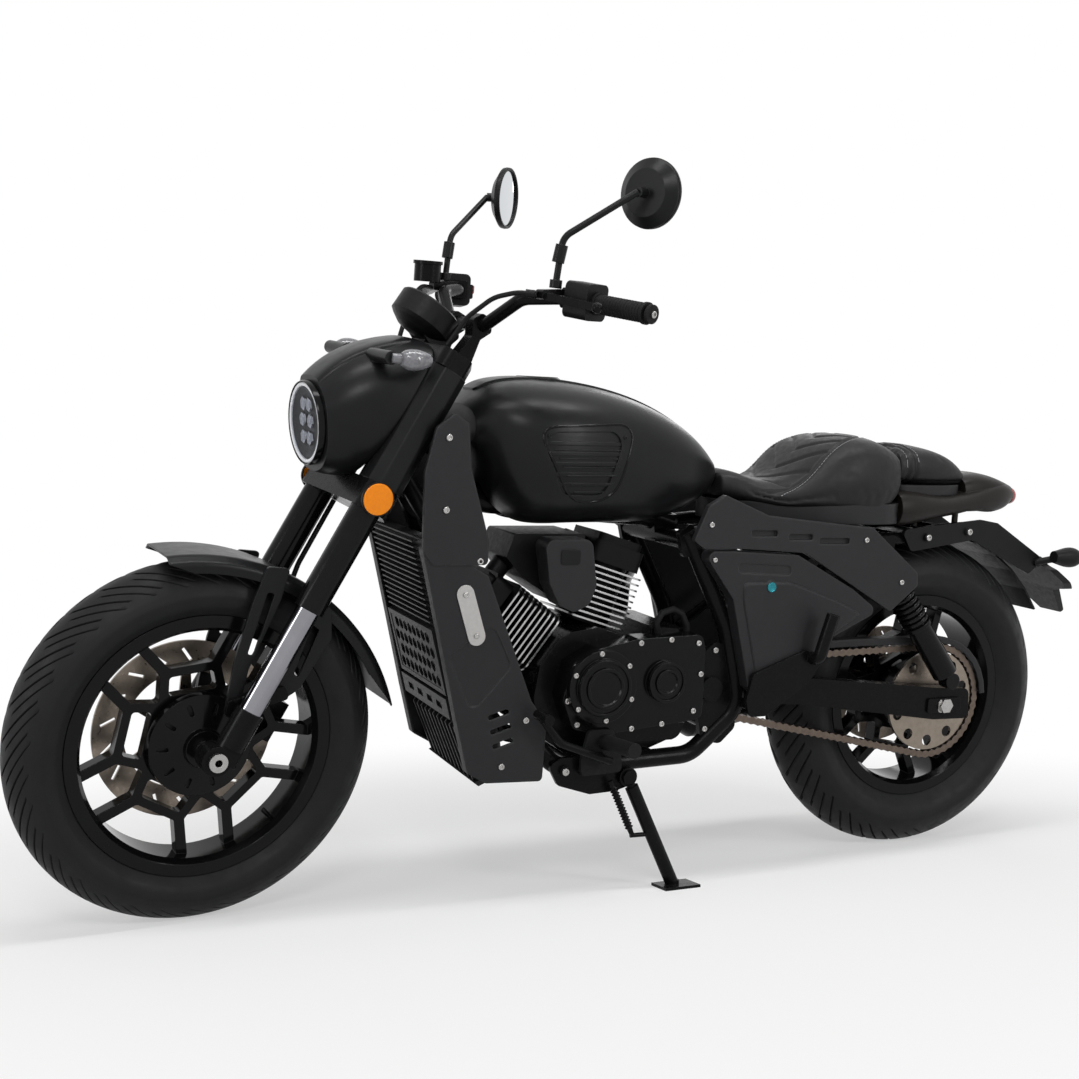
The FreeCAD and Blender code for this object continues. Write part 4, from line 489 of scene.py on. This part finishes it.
def addHeadlamp():
    # A black rim with a pale light ring, a dark bowl with six chips of reflector, and the lens.
    start, facing, ring = Vector(lamp["start"]), Vector(lamp["facing"]), lamp["ring"]
    ends = turned([(0.0, 0.069), (0.008, 0.069), (0.0115, 0.0672), (0.0115, 0.0662), (0.001, 0.066)], start,
                  facing, 64, True)
    rim = addPiece("lampRim", [ends], "glossBlack", steered, "steering")
    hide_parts("headlamp")
    glow = turned([(0.002, ring), (0.0095, ring), (0.0108, ring - 0.002), (0.0098, ring - 0.006),
                   (0.002, ring - 0.0065)], start, facing, 64, True)
    addPiece("lampLightRing", [glow], "lampWhite", steered, "steering")
    bowl = turned([(0.001, 0.058), (0.0075, 0.0585), (0.0075, 0.056), (0.0035, 0.050), (0.0025, 0.002)],
                  start, facing, 48)
    addPiece("lampBowl", [bowl], "darkPlastic", steered, "steering")
    chips = []
    for high, wide in lamp["chips"]:
        for side in (-1, 1):
            middle = start + facing * 0.004 + Vector(lamp["rise"]) * high + Vector((0, side * wide, 0))
            chips.append(turned([(0.0, 0.0125), (0.003, 0.0115), (0.0015, 0.006), (0.0034, 0.003)], middle,
                                facing, 6))
    addPiece("lampReflectors", chips, "chrome", steered, "steering")
    lens = turned([(0.0085, 0.0585), (0.0105, 0.056), (0.0135, 0.045), (0.016, 0.028), (0.0172, 0.010),
                   (0.0174, 0.001)], start, facing, 48)
    addPiece("lampLens", [lens], "clearShell", steered, "steering")


def makeClearShell():
    # A thin clear cover: see-through, with the reflection of glass.
    material = bpy.data.materials.new("clearShell")
    material.use_nodes = True
    tree = material.node_tree
    tree.nodes.remove(tree.nodes["Principled BSDF"])
    through = tree.nodes.new("ShaderNodeBsdfTransparent")
    through.inputs["Color"].default_value = (0.93, 0.94, 0.96, 1)
    shine = tree.nodes.new("ShaderNodeBsdfGlossy")
    shine.inputs["Roughness"].default_value = 0.04
    mix = tree.nodes.new("ShaderNodeMixShader")
    mix.inputs["Fac"].default_value = 0.02  # how much it shines
    tree.links.new(through.outputs["BSDF"], mix.inputs[1])
    tree.links.new(shine.outputs["BSDF"], mix.inputs[2])
    tree.links.new(mix.outputs["Shader"], tree.nodes["Material Output"].inputs["Surface"])
    return material


materials["clearShell"] = makeClearShell()
mirror = {"place": (-0.626, 0.240, 0.923), "left": 21.0, "right": -48.0, "glass": 0.0495, "back": 0.009}


def addMirrorGlass():
    # The silvered discs and the rounded rims about them, each turned its own way.
    x, y, z = mirror["place"]
    for name, side in (("left", 1), ("right", -1)):
        turn = math.radians(mirror[name])
        back = Vector((math.cos(turn), math.sin(turn), 0))
        start = Vector((x, side * y, z)) - back * mirror["back"]
        glass = turned([(0.0005, mirror["glass"]), (-0.0006, mirror["glass"]),
                        (-0.0008, mirror["glass"] - 0.001)], start, back, 48)
        addPiece(name + "MirrorGlass", [glass], "mirrorGlass", steered, "steering")
        rim = turned([(0.002, 0.0562), (-0.0034, 0.0556), (-0.0042, 0.0540), (-0.0036, 0.0510),
                      (0.002, 0.0496)], start, back, 64, True)
        addPiece(name + "MirrorRim", [rim], "darkPlastic", steered, "steering")


dial = {"middle": (-0.351, 0, 0.683), "facing": (-0.552, 0, 0.834), "marks": 41, "from": -130.0, "step": 6.5,
        "outer": 0.041, "long": 0.007, "short": 0.004}


def addDial():
    # The speedometer's dark glass and its pale marks, every fifth one long.
    middle, facing = Vector(dial["middle"]), Vector(dial["facing"])
    glass = turned([(0.0395, 0.0455), (0.0412, 0.0455), (0.0418, 0.044), (0.0418, 0.001)], middle, facing, 48)
    addPiece("dialGlass", [glass], "glossBlack", steered, "steering")
    side = Vector((0, 1, 0))
    up, start = facing.cross(side), middle + facing * 0.0421  # a hair above the glass
    marks = []
    for k in range(dial["marks"]):
        angle = math.radians(dial["from"] + dial["step"] * k)
        out = side * math.sin(angle) + up * math.cos(angle)
        long = dial["long"] if k % 5 == 0 else dial["short"]
        marks.append(tube([start + out * (dial["outer"] - long), start + out * dial["outer"]], 0.0004, 6))
    addPiece("dialMarks", marks, "lampWhite", steered, "steering")


small = {
    "lock": {"place": (0.440, 0.1632, 0.556), "radius": 0.009},
    "switch": {"outline": [(-0.566, 0.742), (-0.548, 0.742), (-0.548, 0.758), (-0.566, 0.758)], "turn": 0.004,
               "sides": (-0.224, -0.214)},
    "pad": {"outline": [(0.848, 0.597), (0.812, 0.597), (0.812, 0.623), (0.848, 0.623)], "turn": 0.006,
            "sides": (0.1376, 0.1396)},
}


def addSmallThings():
    # The lock on the side cover, the stop switch on the right bar and the pad on the horn's cover.
    radius = small["lock"]["radius"]
    lock = turned([(0.0, radius), (0.002, radius), (0.003, radius - 0.0015), (0.0022, radius - 0.005)],
                  small["lock"]["place"], (0, 1, 0))
    addPiece("coverLock", [lock], "blueLock", machine, "chassis")
    switch, pad = (plate(softOutline(spec["outline"], spec["turn"]), *spec["sides"])
                   for spec in (small["switch"], small["pad"]))
    addPiece("stopSwitch", [switch], "redSwitch", steered, "steering")
    addPiece("hornPad", [pad], "satinPaint", machine, "chassis")


reflector = {"place": (-0.2385, 0.1285, 0.4138), "radius": 0.0255, "rim": 0.0275}


def addReflectors():
    # Domed amber lenses in black rims, on the ends of the lower clamp.
    x, y, z = reflector["place"]
    wide, rim = reflector["radius"], reflector["rim"]
    lenses, rims = [], []
    for side in (1, -1):
        start, facing = (x, side * y, z), (0, side, 0)
        lenses.append(turned([(0.0, wide), (0.0045, wide), (0.0055, wide - 0.0012), (0.0062, wide * 0.6),
                              (0.0064, 0.0015)], start, facing, 40))
        rims.append(turned([(-0.001, rim), (0.0038, rim), (0.0038, wide), (-0.001, wide)], start, facing, 40,
                           True))
    lens = addPiece("reflectorLenses", lenses, "amberLens", steered, "steering")
    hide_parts("fork_reflectors")
    addPiece("reflectorRims", rims, "darkPlastic", steered, "steering")


grip = {"end": (-0.572, 0.352, 0.735), "line": (0.294, -0.952, 0.08), "radius": 0.0149, "ribs": 15,
        "from": 0.014, "pitch": 0.0058}


def addGripRibs():
    # Low ribs round the rubber and the bright screw in each bar weight.
    ribs, screws, radius = [], [], grip["radius"]
    for side in (1, -1):
        end, line = (Vector(grip[key]) * Vector((1, side, 1)) for key in ("end", "line"))
        for k in range(grip["ribs"]):
            middle = end + line * (grip["from"] + grip["pitch"] * k)
            ribs.append(turned([(-0.0016, radius), (-0.0008, radius + 0.0009), (0.0008, radius + 0.0009),
                                (0.0016, radius), (0.0, radius - 0.001)], middle, line, 28, True))
        screws.append(bolt(end - line * 0.006, -line, 0.0058))
    addPiece("gripRibs", ribs, "rubber", steered, "steering")
    addPiece("barScrews", screws, "steel", steered, "steering")


panel = {
    "outline": [(0.500, 0.566), (0.400, 0.566), (0.290, 0.528), (0.232, 0.502), (0.322, 0.452),
                (0.372, 0.382), (0.440, 0.368), (0.458, 0.385), (0.497, 0.530)],
    "turn": 0.014, "foot": 0.1594, "top": 0.1632, "share": 0.955,  # share: how much smaller the top is
}


def addCoverPanels():
    # The moulded field that stands out of each side cover, with sloped edges.
    foot = [Vector(point) for point in softOutline(panel["outline"], panel["turn"])]
    middle = sum(foot, Vector((0, 0))) / len(foot)
    top = [middle + (point - middle) * panel["share"] for point in foot]
    parts = [joined([(x, side * panel["foot"], z) for x, z in foot],
                    [(x, side * panel["top"], z) for x, z in top])
             for side in (1, -1)]
    addPiece("coverPanels", parts, "mattePlastic", machine, "chassis")


badge = {"top": (1.0215, 0.5525), "low": (0.9985, 0.4815), "half": 0.0152, "inner": 0.1458, "outer": 0.1486}


def addBadges():
    # The steel plates with round ends on both shrouds.
    top, low = Vector(badge["top"]), Vector(badge["low"])
    run = (top - low).normalized()
    start = math.atan2(run.y, run.x) - math.pi / 2
    outline = [tuple(middle + Vector((math.cos(start + turn + k * math.pi / 12),
                                      math.sin(start + turn + k * math.pi / 12))) * badge["half"])
               for middle, turn in ((top, 0.0), (low, math.pi)) for k in range(13)]
    plates = [plate(outline, side * badge["inner"], side * badge["outer"]) for side in (1, -1)]
    addPiece("badgeFaces", plates, "brushedPlate", machine, "chassis")


def skinOf(piece):
    # A mesh that lines can be aimed at.
    return BVHTree.FromPolygons([point.co for point in piece.data.vertices],
                                [tuple(face.vertices) for face in piece.data.polygons])


def touching(skin, place, facing, lift=0.0):
    # Where a line along facing through place meets a skin, in the machine's axes.
    facing = Vector(facing)
    hit = skin.ray_cast(machine @ (Vector(place) - facing * 0.4), machine.to_3x3() @ facing)[0]
    return machine.inverted() @ hit - facing * lift if hit else None


emblem = {"corners": [(0.917, 0.828), (0.720, 0.838), (0.760, 0.708), (0.843, 0.702)], "turn": 0.042,
          "lip": 0.0024, "ribs": (0.792, 0.778, 0.764, 0.750, 0.736, 0.722), "rib": 0.0019, "gap": 0.013,
          "screws": ((0.893, 0.814), (0.745, 0.814)), "screw": 0.0034}


def addEmblems():
    # A raised lip around each panel of the tank, plain ribs inside it and its two small screws.
    skin = skinOf(nodes["fuel_tank"])
    corners = [Vector((x, 0, z)) for x, z in softOutline(emblem["corners"], emblem["turn"], 8)]
    outline = []
    for i, point in enumerate(corners):
        ahead = corners[(i + 1) % len(corners)]
        count = max(1, int((ahead - point).length / 0.008))  # points at most 16 mm apart
        outline += [point.lerp(ahead, k / count) for k in range(count)]
    lips, ribs, screws = [], [], []
    for side in (1, -1):
        facing = (0, -side, 0)
        line = [touching(skin, point, facing, -0.0006) for point in outline]
        lips.append(tube(line + line[:2], emblem["lip"]))
        for z in emblem["ribs"]:
            ends = []
            for i, point in enumerate(outline):
                ahead = outline[(i + 1) % len(outline)]
                if (point.z - z) * (ahead.z - z) < 0:
                    ends.append(point.lerp(ahead, (z - point.z) / (ahead.z - point.z)).x)
            x0, x1 = min(ends) + emblem["gap"], max(ends) - emblem["gap"]
            ribs.append(tube([touching(skin, (x0 + (x1 - x0) * k / 12, 0, z), facing, -0.0008)
                              for k in range(13)], emblem["rib"], 8))
        screws += [bolt(touching(skin, (x, 0, z), facing), (0, side, 0), emblem["screw"])
                   for x, z in emblem["screws"]]
    addPiece("emblemLips", lips, "glossBlack", machine, "chassis")
    addPiece("emblemRibs", ribs, "satinPaint", machine, "chassis")
    addPiece("emblemScrews", screws, "satinPaint", machine, "chassis")


soft = {
    "rider_seat": {"shrink": 0.004, "cap": 0.006, "grid": 0.006, "pressure": 4.0, "low": 0.700, "fill": 0.85},
    "pillion_seat": {"shrink": 0.004, "cap": 0.006, "grid": 0.005, "pressure": 4.0, "low": 0.738,
                     "fill": 0.85},
}
cloth = {"steps": 20, "quality": 4, "mass": 0.3}
seam = {"middle": (0.352, 0.0), "reach": (0.192, 0.100), "depth": 0.0042, "width": 0.0038, "channel": 0.043,
        "slant": 0.62, "channels": (0.17, 0.40), "straps": (0.094, 0.078), "rim": 0.742}


def settled(piece):
    # The mesh that a piece's modifiers give.
    mesh = bpy.data.meshes.new_from_object(piece.evaluated_get(bpy.context.evaluated_depsgraph_get()))
    piece.modifiers.clear()
    piece.data = mesh


def seamDistance(x, y):
    # How far a point is outside the oval seam, in metres; less than nothing inside it.
    dx, dy = x - seam["middle"][0], y - seam["middle"][1]
    a, b = seam["reach"]
    level = math.hypot(dx / a, dy / b)
    slope = math.hypot(dx / a ** 2, dy / b ** 2)
    return (level - 1) * level / slope if slope else -b


def seatDip(node, place, up):
    # How deep the seams and sewn channels draw a point of a cover in.
    def crease(distance):
        return math.exp(-(distance / seam["width"]) ** 2)

    dip = 0.0
    if node == "rider_seat" and up > 0.2:
        outside = seamDistance(place.x, place.y)
        dip = crease(outside)
        low, high = seam["channels"]
        if outside < -0.006 and low < place.x < high:
            row = (place.x + seam["slant"] * abs(place.y)) / seam["channel"]
            dip = max(dip, 0.8 * crease((row - round(row)) * seam["channel"] * 0.8))
    if node == "pillion_seat":
        dip = max(crease(place.x - strap) for strap in seam["straps"])
        dip = max(dip, 0.6 * crease(place.z - seam["rim"]))
    return dip * seam["depth"]


def addSoftSeat(node, spec):
    # The CAD solid gives the size; a pressed, sewn cover over it is what shows.
    seat = bpy.data.objects.new(node + "Soft", nodes[node].data.copy())
    scene.collection.objects.link(seat)
    grid = seat.modifiers.new("grid", "REMESH")
    grid.mode, grid.voxel_size = "VOXEL", spec["grid"]
    settled(seat)
    mesh, back = seat.data, machine.inverted()
    start = [point.co - point.normal * spec["shrink"] for point in mesh.vertices]
    for point, place in zip(mesh.vertices, start):
        point.co = place
    held = seat.vertex_groups.new(name="held")
    held.add([i for i, place in enumerate(start) if (back @ place).z < spec["low"]], 1.0, "REPLACE")
    cover = seat.modifiers.new("cloth", "CLOTH")
    settings = cover.settings
    settings.quality, settings.mass = cloth["quality"], cloth["mass"]
    settings.use_pressure, settings.uniform_pressure_force = True, spec["pressure"]
    settings.effector_weights.gravity = 0.0
    settings.vertex_group_mass = "held"
    cover.collision_settings.use_collision = False
    for step in range(1, cloth["steps"] + 1):
        scene.frame_set(step)
    settled(seat)
    for point, place in zip(seat.data.vertices, start):
        move = point.co - place
        point.co = place + move * min(1.0, spec["cap"] / max(move.length, 1e-9))  # within the CAD box
    scene.frame_set(1)
    seat.modifiers.new("finer", "SUBSURF").levels = 1
    settled(seat)
    turn = back.to_3x3()
    moves = [point.normal * seatDip(node, back @ point.co, (turn @ point.normal).z)
             for point in seat.data.vertices]
    for point, move in zip(seat.data.vertices, moves):
        point.co -= move
    seat.data.materials.clear()
    seat.data.materials.append(materials["leather"])
    seat.data.shade_smooth()
    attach(seat, "chassis")
    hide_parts(node)
    return seat


stitch = {"step": 0.0052, "share": 0.62, "radius": 0.0009, "aside": 0.005}


def stitchRow(skin, points):
    # Short threads along a line of points seen from above.
    threads, left, step = [], 0.0, stitch["step"]
    for here, ahead in zip(points, points[1:]):
        here, ahead = Vector(here), Vector(ahead)
        long = (ahead - here).length
        while left < long:
            ends = [touching(skin, here.lerp(ahead, share), (0, 0, -1), 0.0004)
                    for share in (left / long, (left + step * stitch["share"]) / long)]
            if None not in ends:
                threads.append(tube(ends, stitch["radius"], 5))
            left += step
        left -= long
    return threads


def addStitches(seats):
    # Rows just outside the oval seam and beside both straps.
    x0, y0 = seam["middle"]
    a, b = (reach + stitch["aside"] for reach in seam["reach"])
    oval = [(x0 + a * math.cos(k * math.pi / 60), y0 + b * math.sin(k * math.pi / 60), 0.8)
            for k in range(121)]
    threads = stitchRow(skinOf(seats["rider_seat"]), oval)
    skin = skinOf(seats["pillion_seat"])
    for strap, way in zip(seam["straps"], (1, -1)):
        threads += stitchRow(skin, [(strap + way * stitch["aside"], y * 0.01, 0.8) for y in range(-9, 10)])
    addPiece("seatStitches", threads, "thread", machine, "chassis")


pans = {
    "rider": {"z": (0.664, 0.702), "outline": [(0.497, 0.030), (0.430, 0.084), (0.300, 0.122), (0.240, 0.126),
                                               (0.150, 0.118), (0.112, 0.094)]},
    "pillion": {"z": (0.716, 0.736), "outline": [(0.108, 0.082), (0.060, 0.086), (-0.010, 0.078),
                                                 (-0.062, 0.060)]},
}


def addPans():
    # The seats' black base pans, which close the seats to the rails and trims.
    parts = []
    for pan in pans.values():
        ring = softOutline(pan["outline"] + [(x, -y) for x, y in pan["outline"][::-1]], 0.02, 4)
        parts.append(joined(*([(x, y, z) for x, y in ring] for z in pan["z"])))
    addPiece("seatPans", parts, "mattePlastic", machine, "chassis")


hose = {"line": [(0.577, 0.106, 0.452), (0.577, 0.107, 0.480), (0.590, 0.109, 0.503), (0.608, 0.110, 0.511),
                 (0.630, 0.110, 0.505), (0.641, 0.110, 0.488), (0.636, 0.108, 0.468), (0.634, 0.106, 0.452)],
        "radius": 0.0062}


def addHose():
    # The short breather hose behind the rear cylinder.
    addPiece("breatherHose", [tube(hose["line"], hose["radius"], 12)], "rubber", machine, "chassis")


axle = {"adjuster": (0.130, 0.1366), "reach": 0.045, "bracket": (0.1358, 0.1376),
        "outline": [(0.016, -0.014), (0.015, 0.012), (-0.015, 0.012), (-0.016, -0.014)]}


def dressAxle():
    # The long adjusters go dark, so that the nut and a small bracket stand out.
    mesh, back = nodes["rear_axle"].data, machine.inverted()
    mesh.materials.append(materials["frameBlack"])
    x, _, z = back @ Vector(jointNamed("rear_wheel_spin")["pos_m"])
    inner, outer = axle["adjuster"]
    for face in mesh.polygons:
        place = back @ face.center
        if inner < abs(place.y) < outer and math.hypot(place.x - x, place.z - z) < axle["reach"]:
            face.material_index = 1
    outline = softOutline([(x + across, z + rise) for across, rise in axle["outline"]], 0.008)
    y0, y1 = axle["bracket"]
    brackets = [plate(outline, side * y0, side * y1) for side in (1, -1)]
    addPiece("axleBrackets", brackets, "steel", machine, "chassis")


addBolts()
addEngineDetail()
brightenFins()
for spec in tread.values():
    addTyre(spec)
addHeadlamp()
addMirrorGlass()
addDial()
addSmallThings()
addReflectors()
addGripRibs()
addCoverPanels()
addBadges()
addEmblems()
addPans()
addHose()
dressAxle()
print("stage: engine, tyres, lamp and fittings")
addStitches({node: addSoftSeat(node, spec) for node, spec in soft.items()})
print("stage: soft seats")


stage = {"half": 30.0, "floor": 0.86, "fade": (0.7, 2.2, 0.45, 1.0),
         "world": 0.16}  # fade: from, to, low, high


def seenRays(tree):
    # Camera, glossy and transmission rays, which see the white surroundings.
    rays = tree.nodes.new("ShaderNodeLightPath")
    total = rays.outputs["Is Camera Ray"]
    for name in ("Is Glossy Ray", "Is Transmission Ray"):
        add = tree.nodes.new("ShaderNodeMath")
        add.operation = "MAXIMUM"
        tree.links.new(total, add.inputs[0])
        tree.links.new(rays.outputs[name], add.inputs[1])
        total = add.outputs["Value"]
    return total


def mixedInto(tree, share, first, second, target):
    mix = tree.nodes.new("ShaderNodeMixShader")
    tree.links.new(share, mix.inputs["Fac"])
    tree.links.new(first, mix.inputs[1])
    tree.links.new(second, mix.inputs[2])
    tree.links.new(mix.outputs["Shader"], target)


def addFloor():
    # A pale floor that keeps the shadow and turns white with the distance.
    half = stage["half"]
    mesh = bpy.data.meshes.new("floor")
    mesh.from_pydata([(-half, -half, 0), (half, -half, 0), (half, half, 0), (-half, half, 0)], [],
                     [(0, 1, 2, 3)])
    floor = bpy.data.objects.new("floor", mesh)
    scene.collection.objects.link(floor)
    material = bpy.data.materials.new("floorPaint")
    material.use_nodes = True
    tree = material.node_tree
    shader = tree.nodes["Principled BSDF"]
    shader.inputs["Base Color"].default_value = (stage["floor"],) * 3 + (1,)
    shader.inputs["Roughness"].default_value = 0.9
    shader.inputs["Specular IOR Level"].default_value = 0.1
    glow = tree.nodes.new("ShaderNodeEmission")
    spot = tree.nodes.new("ShaderNodeTexCoord")
    reach = tree.nodes.new("ShaderNodeVectorMath")
    reach.operation = "LENGTH"
    tree.links.new(spot.outputs["Object"], reach.inputs[0])
    fade = tree.nodes.new("ShaderNodeMapRange")
    fade.interpolation_type = "SMOOTHSTEP"
    for socket, value in zip(("From Min", "From Max", "To Min", "To Max"), stage["fade"]):
        fade.inputs[socket].default_value = value
    tree.links.new(reach.outputs["Value"], fade.inputs["Value"])
    share = tree.nodes.new("ShaderNodeMath")
    share.operation = "MULTIPLY"
    tree.links.new(seenRays(tree), share.inputs[0])
    tree.links.new(fade.outputs["Result"], share.inputs[1])
    mixedInto(tree, share.outputs["Value"], shader.outputs["BSDF"], glow.outputs["Emission"],
              tree.nodes["Material Output"].inputs["Surface"])
    mesh.materials.append(material)


def addSurroundings():
    # A dim world for the light, white where it is seen.
    world = bpy.data.worlds.new("studio")
    scene.world = world
    world.use_nodes = True
    tree = world.node_tree
    dim, white = tree.nodes["Background"], tree.nodes.new("ShaderNodeBackground")
    dim.inputs["Strength"].default_value = stage["world"]
    for background in (dim, white):
        background.inputs["Color"].default_value = (1, 1, 1, 1)
    mixedInto(tree, seenRays(tree), dim.outputs["Background"], white.outputs["Background"],
              tree.nodes["World Output"].inputs["Surface"])


lamps = {
    "key": {"power": 46.0, "place": (1.8, 3.4, 2.8), "target": (0, 0, 0.5), "size": (1.1, 0.8)},
    "fill": {"power": 24.0, "place": (3.6, 0.6, 1.2), "target": (0, 0, 0.5), "size": (0.6, 1.6)},
    "side": {"power": 34.0, "place": (-1.7, 3.0, 1.5), "target": (-0.1, 0.1, 0.5), "size": (0.5, 1.5)},
    "rim": {"power": 8.0, "place": (-2.4, -2.6, 2.4), "target": (0, 0, 0.6), "size": (1.2, 0.8)},
    "top": {"power": 56.0, "place": (0, 0.7, 3.2), "target": (0, 0, 0.5), "size": (3.2, 0.5)},
}


def addLamp(name, spec):
    data = bpy.data.lights.new(name, "AREA")
    data.energy, data.shape = spec["power"], "RECTANGLE"
    data.size, data.size_y = spec["size"]
    shown = bpy.data.objects.new(name, data)
    shown.location = spec["place"]
    shown.rotation_euler = (Vector(spec["target"]) - Vector(spec["place"])).to_track_quat("-Z",
                                                                                          "Y").to_euler()
    scene.collection.objects.link(shown)


camera = {"place": (1.21306, 2.23971, 0.575), "yaw": -114.68, "pitch": 0.92, "roll": -0.58, "lens": 47.48,
          "sensor": 36.0}


def addCamera():
    # The photograph's own viewpoint, turned by yaw, pitch and roll in degrees.
    yaw, pitch, roll = (math.radians(camera[key]) for key in ("yaw", "pitch", "roll"))
    forward = Vector((math.cos(yaw) * math.cos(pitch), math.sin(yaw) * math.cos(pitch), math.sin(pitch)))
    right = forward.cross(Vector((0, 0, 1))).normalized()
    up = right.cross(forward)
    side = right * math.cos(roll) + up * math.sin(roll)
    rise = up * math.cos(roll) - right * math.sin(roll)
    data = bpy.data.cameras.new("camera")
    data.lens, data.sensor_width, data.clip_end = camera["lens"], camera["sensor"], 100.0
    view = bpy.data.objects.new("camera", data)
    turn = Matrix((side, rise, -forward)).transposed().to_4x4()
    view.matrix_world = Matrix.Translation(camera["place"]) @ turn
    scene.collection.objects.link(view)
    scene.camera = view


addFloor()
addSurroundings()
for name, spec in lamps.items():
    addLamp(name, spec)
addCamera()
scene.view_settings.view_transform = "Standard"
print("stage: stage, lamps and camera")

print("stage: done")
